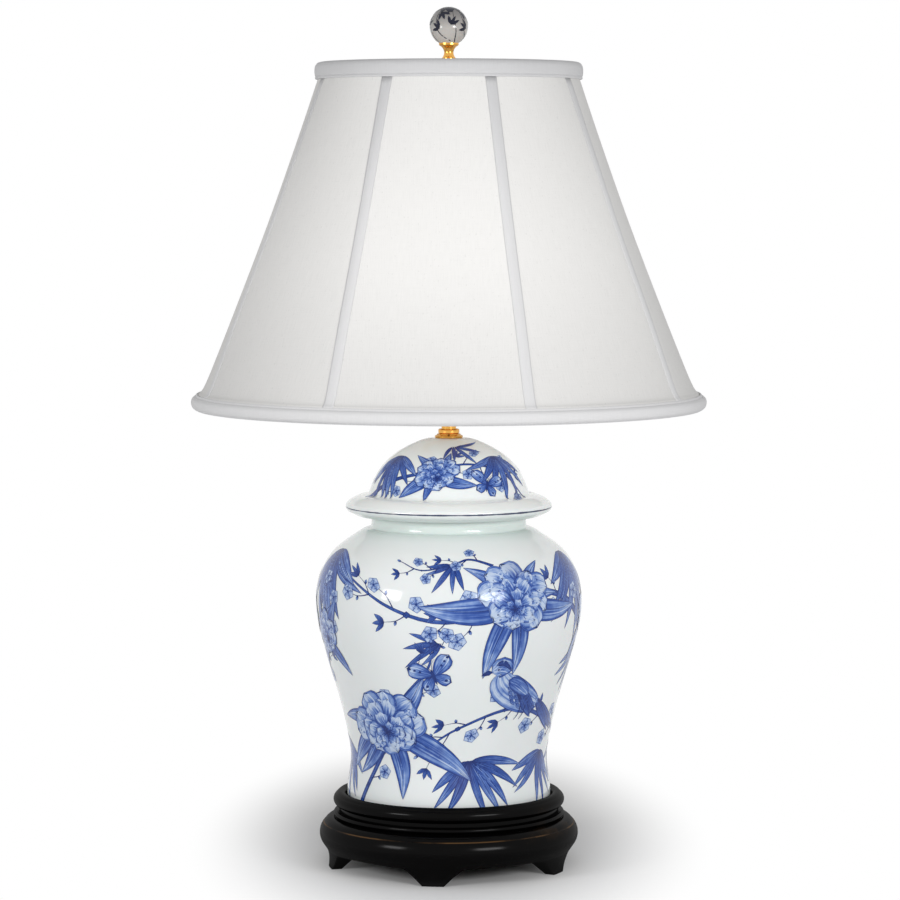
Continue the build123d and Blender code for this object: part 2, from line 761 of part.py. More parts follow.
with BuildPart() as shade_top_trim:
    with BuildSketch(Plane.XZ):
        with BuildLine():
            Line((111.2, 668.4), (112.0, 668.4))
            ThreePointArc((112.0, 668.4), (113.0, 674.4), (111.2, 680.2))
            ThreePointArc((111.2, 680.2), (107.6, 682.6), (103.6, 681.0))
            Polyline(
                (103.6, 681.0),
                (101.9, 679.6),
                (103.4, 667.0),
                (104.8, 667.0),
                (103.2, 680.2),
                (109.2, 680.2),
                (111.2, 668.4),
            )
        make_face()
    revolve(axis=Axis.Z)
    add(arm_slits(), mode=Mode.SUBTRACT)
save(shade_top_trim, "shade_top_trim")

with BuildPart() as shade_bottom_trim:
    with BuildSketch(Plane.XZ):
        with BuildLine():
            ThreePointArc((212.3, 403.6), (216.9, 401.4), (218.3, 397.2))
            ThreePointArc((218.3, 397.2), (217.2, 392.8), (213.2, 390.2))
            Polyline(
                (213.2, 390.2),
                (208.5, 391.2),
                (205.0, 402.2),
                (206.2, 402.2),
                (209.2, 392.9),
                (215.4, 392.9),
                (212.3, 403.6),
            )
        make_face()
    revolve(axis=Axis.Z)
save(shade_bottom_trim, "shade_bottom_trim")

spider_washer = ring_piece(
    STUD_RADIUS + 2.4, SPIDER_WASHER_RADIUS, SPIDER_Z, FINIAL_BOTTOM_Z
)
save(spider_washer, "spider_washer")

ring_radius = profile_radius(TOP_RING_Z) - frame_inset
arm_z = SPIDER_Z + SPIDER_WASHER / 2

for number, angle in enumerate(ARM_ANGLES, start=1):
    reach = radial_plane(angle).z_dir
    with BuildPart() as spider_arm:
        with BuildLine() as arm_path:
            Polyline(
                reach * SPIDER_WASHER_RADIUS + Vector(0, 0, arm_z),
                reach * (ring_radius - 24) + Vector(0, 0, arm_z),
                reach * (ring_radius - FRAME_WIRE_RADIUS - 0.02) + Vector(0, 0, TOP_RING_Z),
            )
        with BuildSketch(Plane(origin=arm_path.line @ 0, z_dir=arm_path.line % 0)):
            Circle(FRAME_WIRE_RADIUS)
        sweep(transition=Transition.RIGHT)
    save(spider_arm, f"spider_arm_{number}")

# ---------------------------------------------------------------- finial

cup_rim = 8.4
cup_rim_z = BALL_CENTRE_Z - math.sqrt(BALL_RADIUS**2 - cup_rim**2) - 0.02
cup_floor_radius = 5.4
cup_floor_z = BALL_CENTRE_Z - BALL_RADIUS - 0.1
rod_radius = 1.5
rod_bottom_z = 688.6

with BuildPart() as finial_base:
    with BuildSketch(Plane.XZ):
        with BuildLine():
            Polyline(
                (STUD_RADIUS + 0.05, FINIAL_BOTTOM_Z),
                (9.6, FINIAL_BOTTOM_Z),
                (10.4, 674.4),
                (10.4, 676.2),
                (9.4, 677.2),
            )
            ThreePointArc((9.4, 677.2), (6.9, 678.9), (6.0, 683.6))
            Line((6.0, 683.6), (6.0, 686.0))
            ThreePointArc((6.0, 686.0), (4.0, 690.8), (cup_rim - 0.6, 696.4))
            Polyline(
                (cup_rim - 0.6, 696.4),
                (cup_rim, 697.2),
                (cup_rim, cup_rim_z),
                (cup_floor_radius, cup_floor_z),
                (rod_radius + 0.05, cup_floor_z),
                (rod_radius + 0.05, rod_bottom_z),
                (0, rod_bottom_z),
                (0, STUD_TOP_Z + 1.4),
                (STUD_RADIUS + 0.05, STUD_TOP_Z + 1.4),
                (STUD_RADIUS + 0.05, FINIAL_BOTTOM_Z),
            )
        make_face()
    revolve(axis=Axis.Z)
save(finial_base, "finial_base")

with BuildPart() as finial_ball:
    with Locations((0, 0, BALL_CENTRE_Z)):
        Sphere(BALL_RADIUS)
    with BuildSketch(Plane.XY.offset(BALL_CENTRE_Z)):
        Circle(rod_radius + 0.05)
    extrude(amount=-BALL_RADIUS - 1, mode=Mode.SUBTRACT)
save(finial_ball, "finial_ball")

with BuildPart() as finial_rod:
    with BuildSketch(Plane.XY.offset(rod_bottom_z)):
        Circle(rod_radius)
    extrude(amount=BALL_CENTRE_Z - rod_bottom_z)
save(finial_rod, "finial_rod")
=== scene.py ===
"""The looks of a porcelain jar table lamp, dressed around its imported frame.

Lengths are metres in the frame's own axes: +Z is up and -Y faces the room. Angles are in
degrees from -Y, positive towards +X. Motifs are drawn in millimetres on the glaze.
"""

import logging
import math
import random
from collections.abc import Iterable, Sequence
from dataclasses import dataclass, field
from enum import Enum

import bmesh
import bpy
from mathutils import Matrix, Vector


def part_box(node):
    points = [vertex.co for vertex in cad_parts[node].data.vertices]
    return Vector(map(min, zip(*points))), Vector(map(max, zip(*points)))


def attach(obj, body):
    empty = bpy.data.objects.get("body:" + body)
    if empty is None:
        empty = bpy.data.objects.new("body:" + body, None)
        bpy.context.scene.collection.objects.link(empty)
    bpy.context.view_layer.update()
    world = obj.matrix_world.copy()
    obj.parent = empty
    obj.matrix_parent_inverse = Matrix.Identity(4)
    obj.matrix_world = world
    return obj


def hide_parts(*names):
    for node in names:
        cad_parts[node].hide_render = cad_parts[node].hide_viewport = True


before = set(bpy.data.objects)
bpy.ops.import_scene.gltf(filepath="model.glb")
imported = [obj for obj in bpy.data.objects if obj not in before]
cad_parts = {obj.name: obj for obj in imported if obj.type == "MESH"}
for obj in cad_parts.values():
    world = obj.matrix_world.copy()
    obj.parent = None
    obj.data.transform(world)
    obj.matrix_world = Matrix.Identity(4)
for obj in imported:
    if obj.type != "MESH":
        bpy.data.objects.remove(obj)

LOG = logging.getLogger("lamp")
MM = 0.001
WELD = 1e-6
BLACK = (0.0, 0.0, 0.0)

Colour = tuple[float, float, float]
Outline = Sequence[tuple[float, float]]


# ------------------------------------------------------------------ curves and meshes


def outward(angle: float) -> Vector:
    """The level direction that faces outwards at an angle."""
    turn = math.radians(angle)
    return Vector((math.sin(turn), -math.cos(turn), 0.0))


def ray(start: Sequence[float], reach: float, heading: float) -> tuple[float, float]:
    """The point at a distance from a start, in a direction in degrees from +X."""
    turn = math.radians(heading)
    return start[0] + reach * math.cos(turn), start[1] + reach * math.sin(turn)


def run_lengths(outline: Outline) -> list[float]:
    """How far along an outline each of its points lies."""
    lengths = [0.0]
    for (a0, b0), (a1, b1) in zip(outline, outline[1:]):
        lengths.append(lengths[-1] + math.hypot(a1 - a0, b1 - b0))
    return lengths


def smooth_path(points: Sequence[Sequence[float]], steps: int) -> list[Vector]:
    """Runs a smooth curve through a few points.

    Args:
        points: The points that the curve passes through, two or more.
        steps: How many steps the whole curve is cut into.

    Returns:
        steps + 1 points along the curve, ends included.
    """
    knots = [Vector(point) for point in points]
    knots = [2 * knots[0] - knots[1], *knots, 2 * knots[-1] - knots[-2]]
    spans = len(points) - 1
    found = []
    for step in range(steps + 1):
        place = min(step * spans / steps, spans - 1e-9)
        span = int(place)
        t = place - span
        before, start, end, after = knots[span : span + 4]
        leave, arrive = (end - before) / 2, (after - start) / 2
        found.append(
            start * (1 + 2 * t) * (1 - t) ** 2
            + leave * t * (1 - t) ** 2
            + end * t * t * (3 - 2 * t)
            + arrive * t * t * (t - 1)
        )
    return found


def spun(outline: Outline, steps: int) -> bmesh.types.BMesh:
    """Turns a closed outline about the Z axis.

    Args:
        outline: Radius and height of each point round the section.
        steps: How many faces the full turn has.

    Returns:
        The closed turned mesh, its faces pointing outwards.
    """
    bm = bmesh.new()
    verts = [bm.verts.new((0.0, -radius, z)) for radius, z in outline]
    edges = [bm.edges.new(pair) for pair in zip(verts, [*verts[1:], verts[0]])]
    bmesh.ops.spin(
        bm, geom=verts + edges, cent=(0, 0, 0), axis=(0, 0, 1), dvec=(0, 0, 0),
        angle=math.tau, steps=steps, use_merge=True,
    )
    bmesh.ops.remove_doubles(bm, verts=bm.verts, dist=WELD)
    bmesh.ops.recalc_face_normals(bm, faces=bm.faces)
    return bm


def make_piece(
    name: str, bm: bmesh.types.BMesh, material: bpy.types.Material, body: str,
    replaces: Iterable[str] = (),
) -> bpy.types.Object:
    """Turns a finished bmesh into a smooth piece that rides on a body.

    Args:
        name: The piece's name.
        bm: Its mesh, freed here.
        material: Its finish.
        body: The body that it moves with.
        replaces: The nodes that it stands for.

    Returns:
        The piece, at the origin, with its place in its mesh.
    """
    mesh = bpy.data.meshes.new(name)
    bm.to_mesh(mesh)
    bm.free()
    mesh.materials.append(material)
    mesh.shade_smooth()
    piece = bpy.data.objects.new(name, mesh)
    bpy.context.scene.collection.objects.link(piece)
    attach(piece, body)
    nodes = tuple(replaces)
    if nodes:
        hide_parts(*nodes)
    return piece


def thicken(piece: bpy.types.Object, thickness: float) -> None:
    """Gives a skin its thickness, inwards from the modelled side."""
    wall = piece.modifiers.new("thickness", "SOLIDIFY")
    wall.thickness = thickness
    wall.offset = -1.0


def dress(node: str, material: bpy.types.Material) -> bpy.types.Object:
    """Gives a frame node its finish and returns its object."""
    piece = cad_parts[node]
    piece.data.materials.clear()
    piece.data.materials.append(material)
    return piece


# ------------------------------------------------------------------ shader building


class Canvas:
    """A node tree with short calls that add nodes and join them."""

    def __init__(self, tree: bpy.types.NodeTree) -> None:
        """Works in a tree."""
        self.tree = tree

    def add(self, kind: str, inputs: dict | None = None, **settings) -> bpy.types.Node:
        """Adds a node.

        Args:
            kind: The node's type, without the leading ShaderNode.
            inputs: Values or output sockets for its inputs, by name or number.
            **settings: The node's own properties.

        Returns:
            The node.
        """
        node = self.tree.nodes.new("ShaderNode" + kind)
        for key, value in settings.items():
            setattr(node, key, value)
        for key, value in (inputs or {}).items():
            if isinstance(value, bpy.types.NodeSocket):
                self.tree.links.new(value, node.inputs[key])
            else:
                node.inputs[key].default_value = value
        return node

    def math(self, operation: str, *values, clamp: bool = False) -> bpy.types.NodeSocket:
        """Adds a math node on one to three values and returns its result."""
        node = self.add("Math", dict(enumerate(values)), operation=operation, use_clamp=clamp)
        return node.outputs[0]

    def band(self, value, low: float, high: float, start=0.0, end=1.0) -> bpy.types.NodeSocket:
        """Maps a value from low..high to start..end, smoothly, and returns the result."""
        node = self.add(
            "MapRange", {0: value, 1: low, 2: high, 3: start, 4: end},
            interpolation_type="SMOOTHSTEP",
        )
        return node.outputs[0]

    def noise(self, place, scale, detail: float = 3.0) -> bpy.types.NodeSocket:
        """Adds a noise pattern over a place vector and returns its value."""
        return self.add("TexNoise", {"Vector": place, "Scale": scale, "Detail": detail}).outputs[0]

    def height(self, place) -> bpy.types.NodeSocket:
        """Returns a place vector's height."""
        return self.add("SeparateXYZ", {0: place}).outputs[2]

    def product(self, first, *others) -> bpy.types.NodeSocket:
        """Multiplies two or more values and returns the result."""
        for other in others:
            first = self.math("MULTIPLY", first, other)
        return first

    def feed(self, shader: bpy.types.Node, **sockets) -> None:
        """Joins outputs to a shader's inputs, with _ for a space in an input's name."""
        for key, socket in sockets.items():
            self.tree.links.new(socket, shader.inputs[key.replace("_", " ")])

    def bump(self, height, strength: float, distance: float) -> bpy.types.NodeSocket:
        """Adds a bump node on a height and returns its normal."""
        node = self.add("Bump", {"Height": height, "Strength": strength, "Distance": distance})
        return node.outputs[0]

    def stretch(self, place, scale: tuple) -> bpy.types.NodeSocket:
        """Scales a place vector along each axis and returns it."""
        return self.add("Mapping", {"Vector": place, "Scale": scale}).outputs[0]

    def mix(self, share, first, second) -> bpy.types.NodeSocket:
        """Mixes two colours by a share and returns the result."""
        node = self.add("Mix", {0: share}, data_type="RGBA")
        for key, value in ((6, first), (7, second)):
            if isinstance(value, bpy.types.NodeSocket):
                self.tree.links.new(value, node.inputs[key])
            else:
                node.inputs[key].default_value = (*value, 1.0)
        return node.outputs[2]


class Finish:
    """Base of the finishes: makes a material with a Principled shader to feed."""

    name: str

    def start(self, **values) -> tuple[bpy.types.Material, Canvas, bpy.types.Node]:
        """Makes an empty material.

        Args:
            **values: The shader's plain values, with _ for a space in a socket's name.

        Returns:
            The material, its canvas and its Principled shader.
        """
        material = bpy.data.materials.new(self.name)
        material.use_nodes = True
        canvas = Canvas(material.node_tree)
        shader = material.node_tree.nodes["Principled BSDF"]
        for key, value in values.items():
            socket = shader.inputs[key.replace("_", " ")]
            socket.default_value = (*value, 1.0) if isinstance(value, tuple) else value
        return material, canvas, shader


def new_group(name: str, inputs: dict[str, float | None], outputs: Sequence[str]) -> tuple:
    """Starts a shader group.

    Args:
        name: The group's name.
        inputs: Each value input with its default; None makes a vector input.
        outputs: The names of its outputs, each a value.

    Returns:
        The group, a canvas in it, its input node and its output node.
    """
    group = bpy.data.node_groups.new(name, "ShaderNodeTree")
    for key, value in inputs.items():
        kind = "NodeSocketVector" if value is None else "NodeSocketFloat"
        socket = group.interface.new_socket(key, in_out="INPUT", socket_type=kind)
        if value is not None:
            socket.default_value = value
    for key in outputs:
        group.interface.new_socket(key, in_out="OUTPUT", socket_type="NodeSocketFloat")
    given, out = (group.nodes.new("NodeGroup" + end) for end in ("Input", "Output"))
    return group, Canvas(group), given.outputs, out


class Effects:
    """The shader groups that several finishes share, each built once."""

    def __init__(self) -> None:
        """Builds every group."""
        self.handling = self._handling()
        self.weave = self._weave()
        self.wear = self._wear()

    def _handling(self) -> bpy.types.NodeTree:
        """Fine unevenness of a handled surface: a mask for roughness and a height."""
        group, canvas, given, out = new_group(
            "handling", {"Place": None, "Scale": 40.0, "Base": 0.2, "Spread": 0.08},
            ("Roughness", "Height"),
        )
        broad = canvas.noise(given["Place"], given["Scale"], 4.0)
        fine = canvas.noise(given["Place"], 900.0, 2.0)
        centred = canvas.math("SUBTRACT", broad, 0.5)
        canvas.feed(
            out,
            Roughness=canvas.math("MULTIPLY_ADD", centred, given["Spread"], given["Base"]),
            Height=canvas.math("MULTIPLY_ADD", fine, 0.15, broad),
        )
        return group

    def _weave(self) -> bpy.types.NodeTree:
        """Plain weave with slubs, on a place vector in metres: a shade mask and a height."""
        group, canvas, given, out = new_group(
            "weave", {"Place": None, "Threads": 2200.0, "Slubs": 1.0},
            ("Shade", "Height"),
        )
        place = given["Place"]
        parts = canvas.add("SeparateXYZ", {0: place})
        waves = []
        for axis in (0, 1):
            turn = canvas.product(parts.outputs[axis], given["Threads"], math.tau)
            waves.append(canvas.math("SINE", turn))
        cross = canvas.product(*waves)
        warp = canvas.noise(canvas.stretch(place, (1500.0, 70.0, 1.0)), 1.0, 3.0)
        weft = canvas.noise(canvas.stretch(place, (60.0, 1100.0, 1.0)), 1.0, 3.0)
        long_slub = canvas.noise(canvas.stretch(place, (520.0, 60.0, 1.0)), 1.0, 2.0)
        short_slub = canvas.noise(canvas.stretch(place, (620.0, 330.0, 1.0)), 1.0, 1.0)
        slub = canvas.product(canvas.band(long_slub, 0.62, 0.78), 0.35)
        fleck = canvas.product(canvas.band(short_slub, 0.68, 0.76), 2.2)
        marks = canvas.product(canvas.math("ADD", slub, fleck), given["Slubs"])
        threads = canvas.math("ADD", warp, canvas.product(weft, 0.4))
        canvas.feed(
            out,
            Shade=canvas.math("SUBTRACT", threads, canvas.product(marks, 0.55)),
            Height=canvas.math("MULTIPLY_ADD", cross, 0.2, canvas.math("ADD", threads, marks)),
        )
        return group

    def _wear(self) -> bpy.types.NodeTree:
        """Rubbed edges at one height, patchy round the turn: a mask."""
        group, canvas, given, out = new_group(
            "wear", {"Place": None, "Level": 0.0, "Reach": 0.001, "Patch": 30.0},
            ("Mask",),
        )
        above = canvas.math("SUBTRACT", canvas.height(given["Place"]), given["Level"])
        away = canvas.math("DIVIDE", canvas.math("ABSOLUTE", above), given["Reach"])
        near = canvas.math("SUBTRACT", 1.0, away, clamp=True)
        patch = canvas.noise(given["Place"], given["Patch"], 5.0)
        canvas.feed(out, Mask=canvas.product(near, canvas.band(patch, 0.42, 0.6)))
        return group

    def touch(self, canvas: Canvas, place, scale: float, base: float, spread: float) -> tuple:
        """Adds the handling of a surface and returns its roughness and height."""
        node = self.use(
            canvas, self.handling, Place=place, Scale=scale, Base=base, Spread=spread
        )
        return node.outputs["Roughness"], node.outputs["Height"]

    @staticmethod
    def use(canvas: Canvas, group: bpy.types.NodeTree, **values) -> bpy.types.Node:
        """Places a group in a material with its own values and returns the node."""
        node = canvas.add("Group", node_tree=group)
        for key, value in values.items():
            if isinstance(value, bpy.types.NodeSocket):
                canvas.tree.links.new(value, node.inputs[key])
            else:
                node.inputs[key].default_value = value
        return node


# ------------------------------------------------------------------ finishes


@dataclass(frozen=True)
class Porcelain(Finish):
    """Clear glaze over a cool white body, clouded faintly green at random, with painted shade in
    the pooled tint on one side of a band of heights.
    """

    effects: Effects
    name: str = "porcelain"
    white: Colour = (0.80, 0.83, 0.835)
    # The pooled tint colours the glaze's random cloud and also its painted shade.
    pooled: Colour = (0.70, 0.77, 0.745)
    # The painted shade fades in between these two heights.
    painted_shade_low: float = 0.281
    painted_shade_high: float = 0.292
    line: Colour = (0.055, 0.065, 0.12)
    line_level: float | None = None
    line_reach: float = 1.3 * MM

    def make(self) -> bpy.types.Material:
        """Builds the material."""
        material, canvas, shader = self.start(
            IOR=1.5, Specular_IOR_Level=0.32, Subsurface_Weight=0.05, Subsurface_Scale=2 * MM
        )
        place = canvas.add("TexCoord").outputs["Object"]
        level = canvas.height(place)
        # Painted shade: the pooled tint comes in on one side of a band of heights, on the jar's
        # neck under the lid's brim, the brim's underside and the finial ball's top.
        painted_shade = canvas.band(level, self.painted_shade_low, self.painted_shade_high)
        cloud = canvas.band(canvas.noise(place, 14.0), 0.35, 0.7, 0.0, 0.3)
        cloud_and_painted_shade = canvas.math("MAXIMUM", painted_shade, cloud)
        colour = canvas.mix(cloud_and_painted_shade, self.white, self.pooled)
        if self.line_level is not None:
            away = canvas.math("ABSOLUTE", canvas.math("SUBTRACT", level, self.line_level))
            brush = canvas.product(canvas.noise(place, 60.0), self.line_reach)
            drawn = canvas.band(canvas.math("SUBTRACT", brush, away), 0.0, 0.12 * MM)
            colour = canvas.mix(drawn, colour, self.line)
        roughness, _ = self.effects.touch(canvas, place, 24.0, 0.1, 0.05)
        normal = canvas.bump(canvas.noise(place, 22.0, 1.0), 0.25, 1.2 * MM)
        canvas.feed(shader, Base_Color=colour, Roughness=roughness, Normal=normal)
        return material


@dataclass(frozen=True)
class Underglaze(Finish):
    """Cobalt brushwork under the glaze, from a pale wash to a dark outline."""

    effects: Effects
    name: str = "underglaze_blue"
    wash: Colour = (0.50, 0.60, 0.77)
    light: Colour = (0.16, 0.27, 0.58)
    middle: Colour = (0.030, 0.088, 0.37)
    deep: Colour = (0.009, 0.026, 0.155)
    fired: Colour = (0.11, 0.10, 0.20)
    outline_mm: float = 0.42
    body_mm: float = 3.2

    def make(self) -> bpy.types.Material:
        """Builds the material, which reads the brush strokes' tone and rim attributes."""
        material, canvas, shader = self.start(IOR=1.5, Specular_IOR_Level=0.28)
        tone = canvas.add("Attribute", attribute_name="tone").outputs["Fac"]
        rim = canvas.add("Attribute", attribute_name="rim").outputs["Fac"]
        coordinates = canvas.add("TexCoord").outputs
        strokes = canvas.stretch(coordinates["UV"], (7.0, 0.9, 1.0))
        streak = canvas.math("SUBTRACT", canvas.noise(strokes, 1.6, 4.0), 0.5)
        pooled = canvas.math("SUBTRACT", canvas.noise(coordinates["Object"], 130.0), 0.5)
        edge = canvas.band(rim, self.outline_mm * 0.5, self.outline_mm, 0.75, 0.0)
        value = canvas.math("MULTIPLY_ADD", streak, 2.0, tone)
        value = canvas.math("MULTIPLY_ADD", pooled, 0.5, value)
        value = canvas.math("ADD", value, canvas.band(rim, 0.0, self.body_mm, 0.12, -0.22))
        value = canvas.math("ADD", value, edge, clamp=True)
        ramp = canvas.add("ValToRGB", {0: value})
        stops = ramp.color_ramp.elements
        stops[0].color = (*self.wash, 1.0)
        stops[1].color = (*self.deep, 1.0)
        for position, colour in ((0.26, self.light), (0.55, self.middle)):
            stops.new(position).color = (*colour, 1.0)
        warm = canvas.band(canvas.noise(coordinates["Object"], 18.0), 0.56, 0.7, 0.0, 0.3)
        colour = canvas.mix(warm, ramp.outputs[0], self.fired)
        roughness, _ = self.effects.touch(canvas, coordinates["Object"], 24.0, 0.1, 0.05)
        canvas.feed(shader, Base_Color=colour, Roughness=roughness)
        return material


@dataclass(frozen=True)
class Lacquer(Finish):
    """Black lacquer over red-brown wood, rubbed through on edges and at one side."""

    effects: Effects
    name: str = "lacquered_wood"
    black: Colour = (0.0009, 0.0008, 0.0008)
    brown: Colour = (0.11, 0.058, 0.022)
    worn_levels: tuple[tuple[float, float], ...] = ((0.0374, 0.0006),)
    rub_side: float = 62.0
    rub_from_axis: tuple[float, float] = (94 * MM, 112 * MM)
    rub_levels: tuple[float, float] = (30 * MM, 46 * MM)
    rub_strength: float = 0.5

    def make(self) -> bpy.types.Material:
        """Builds the material."""
        material, canvas, shader = self.start(
            IOR=1.5, Specular_IOR_Level=0.0, Coat_Weight=0.14, Coat_IOR=1.5
        )
        place = canvas.add("TexCoord").outputs["Object"]
        mask: bpy.types.NodeSocket | float = 0.0
        for level, reach in self.worn_levels:
            worn = Effects.use(
                canvas, self.effects.wear, Place=place, Level=level, Reach=reach, Patch=22.0
            )
            mask = canvas.math("MAXIMUM", mask, worn.outputs[0])
        side = outward(self.rub_side)
        toward = canvas.add("VectorMath", {0: place, 1: tuple(side)}, operation="DOT_PRODUCT")
        facing = canvas.band(toward.outputs["Value"], *self.rub_from_axis)
        high = canvas.band(canvas.height(place), *self.rub_levels)
        rubbed = canvas.band(canvas.noise(place, 26.0, 6.0), 0.44, 0.62)
        patch = canvas.product(facing, high, rubbed, self.rub_strength)
        colour = canvas.mix(canvas.math("MAXIMUM", mask, patch), self.black, self.brown)
        roughness, _ = self.effects.touch(canvas, place, 30.0, 0.18, 0.06)
        grain = canvas.noise(canvas.stretch(place, (60.0, 60.0, 500.0)), 1.0, 4.0)
        fibres = canvas.bump(grain, 0.10, 0.25 * MM)
        canvas.feed(
            shader, Base_Color=colour, Coat_Roughness=roughness, Normal=fibres, Coat_Normal=fibres
        )
        return material


@dataclass(frozen=True)
class Metal(Finish):
    """A polished, plated or rolled metal."""

    effects: Effects
    name: str
    colour: Colour
    tarnish: Colour
    roughness: float
    spread: float = 0.06
    ridges: float = 0.0

    def make(self) -> bpy.types.Material:
        """Builds the material; ridges, in metres, rolls a thread round the Z axis."""
        material, canvas, shader = self.start(Metallic=1.0)
        place = canvas.add("TexCoord").outputs["Object"]
        roughness, height = self.effects.touch(canvas, place, 160.0, self.roughness, self.spread)
        dull = canvas.band(canvas.noise(place, 90.0, 5.0), 0.5, 0.72, 0.0, 0.6)
        colour = canvas.mix(dull, self.colour, self.tarnish)
        strength, distance = 0.06, 0.1 * MM
        if self.ridges:
            parts = canvas.add("SeparateXYZ", {0: place})
            turn = canvas.math("ARCTAN2", parts.outputs[1], parts.outputs[0])
            climb = canvas.product(parts.outputs[2], math.tau / self.ridges)
            height = canvas.math("SINE", canvas.math("ADD", climb, turn))
            strength, distance = 1.0, 0.5 * MM
        normal = canvas.bump(height, strength, distance)
        canvas.feed(shader, Base_Color=colour, Roughness=roughness, Normal=normal)
        return material


@dataclass(frozen=True)
class Moulded(Finish):
    """Moulded plastic, fibre, enamel or vitrite with a fine grain."""

    effects: Effects
    name: str
    colour: Colour
    roughness: float
    grain: float = 0.1

    def make(self) -> bpy.types.Material:
        """Builds the material."""
        material, canvas, shader = self.start(IOR=1.48)
        place = canvas.add("TexCoord").outputs["Object"]
        roughness, height = self.effects.touch(canvas, place, 120.0, self.roughness, 0.15)
        darker = tuple(channel * 0.75 for channel in self.colour)
        colour = canvas.mix(canvas.band(height, 0.4, 0.8), self.colour, darker)
        normal = canvas.bump(height, self.grain, 0.2 * MM)
        canvas.feed(shader, Base_Color=colour, Roughness=roughness, Normal=normal)
        return material


@dataclass(frozen=True)
class Fabric(Finish):
    """Slubbed cloth with the bulb's light coming through it."""

    effects: Effects
    name: str
    colour: Colour
    shadow: Colour
    threads: float = 2200.0
    slubs: float = 1.0
    glow: Colour = (1.0, 0.985, 0.955)
    glow_strength: float = 0.32
    glow_low: float = 0.40
    glow_high: float = 0.53
    glow_top: float = 0.70
    glow_ends: tuple[float, float] = (0.6, 0.78)

    def make(self) -> bpy.types.Material:
        """Builds the material on the piece's own UV map, which is in metres."""
        material, canvas, shader = self.start(
            Roughness=0.85, Specular_IOR_Level=0.1, Sheen_Weight=0.15, Sheen_Roughness=0.4,
            Emission_Strength=self.glow_strength,
        )
        coordinates = canvas.add("TexCoord").outputs
        woven = Effects.use(
            canvas, self.effects.weave, Place=coordinates["UV"],
            Threads=self.threads, Slubs=self.slubs,
        ).outputs
        colour = canvas.mix(canvas.band(woven["Shade"], 0.0, 1.0), self.shadow, self.colour)
        normal = canvas.bump(woven["Height"], 0.18, 0.12 * MM)
        height = canvas.height(coordinates["Object"])
        low = canvas.band(height, self.glow_low, self.glow_high, self.glow_ends[0], 1.0)
        high = canvas.band(height, self.glow_high, self.glow_top, 1.0, self.glow_ends[1])
        facing = canvas.add("LayerWeight", {"Blend": 0.5}).outputs["Facing"]
        through = canvas.band(facing, 0.0, 0.8, 1.0, 0.35)
        glow = canvas.mix(canvas.product(low, high, through), BLACK, self.glow)
        canvas.feed(shader, Base_Color=colour, Normal=normal, Emission_Color=glow)
        return material


@dataclass(frozen=True)
class Bulb(Finish):
    """The soft white envelope of a lit bulb, dimmer towards its neck."""

    name: str = "bulb_glass"
    lit: Colour = (1.0, 0.88, 0.66)
    dim: Colour = (0.1, 0.06, 0.03)
    unlit: Colour = (0.30, 0.29, 0.27)
    strength: float = 0.92
    neck_level: float = 0.450
    crown_level: float = 0.495

    def make(self) -> bpy.types.Material:
        """Builds the material."""
        material, canvas, shader = self.start(
            Base_Color=self.unlit, Roughness=0.25, Emission_Strength=self.strength
        )
        height = canvas.height(canvas.add("TexCoord").outputs["Object"])
        share = canvas.band(height, self.neck_level, self.crown_level, 0.15, 1.0)
        facing = canvas.add("LayerWeight", {"Blend": 0.5}).outputs["Facing"]
        round_off = canvas.band(facing, 0.3, 1.0, 1.0, 0.45)
        glow = canvas.mix(canvas.product(share, round_off), self.dim, self.lit)
        canvas.feed(shader, Emission_Color=glow)
        return material


@dataclass(frozen=True)
class ClearGlass(Finish):
    """The bulb's inner stem."""

    name: str = "stem_glass"

    def make(self) -> bpy.types.Material:
        """Builds the material."""
        material, canvas, shader = self.start(
            Base_Color=(0.9, 0.95, 0.95), IOR=1.47, Transmission_Weight=0.8
        )
        place = canvas.add("TexCoord").outputs["Object"]
        roughness = canvas.band(canvas.noise(place, 200.0), 0.3, 0.7, 0.03, 0.12)
        canvas.feed(shader, Roughness=roughness)
        return material


# ------------------------------------------------------------------ brushwork on a glaze


class Form(Enum):
    """How a brush stroke's width runs from its start to its end."""

    LEAF = "leaf"
    PETAL = "petal"
    STROKE = "stroke"
    OVAL = "oval"

    def share(self, v: float) -> float:
        """The part of the full half width at v, from 0 at the start to 1 at the end."""
        if self is Form.LEAF:
            return math.sin(math.pi * min(1.0, max(0.0, v)) ** 0.72) ** 0.85
        if self is Form.PETAL:
            crown = 0.66
            if v < crown:
                return 0.16 + 0.84 * math.sin(math.pi / 2 * v / crown)
            return math.sqrt(max(0.0, 1 - ((v - crown) / (1 - crown)) ** 2))
        if self is Form.OVAL:
            return math.sqrt(max(0.0, 1 - (2 * v - 1) ** 2))
        return 1.0 - 0.72 * v


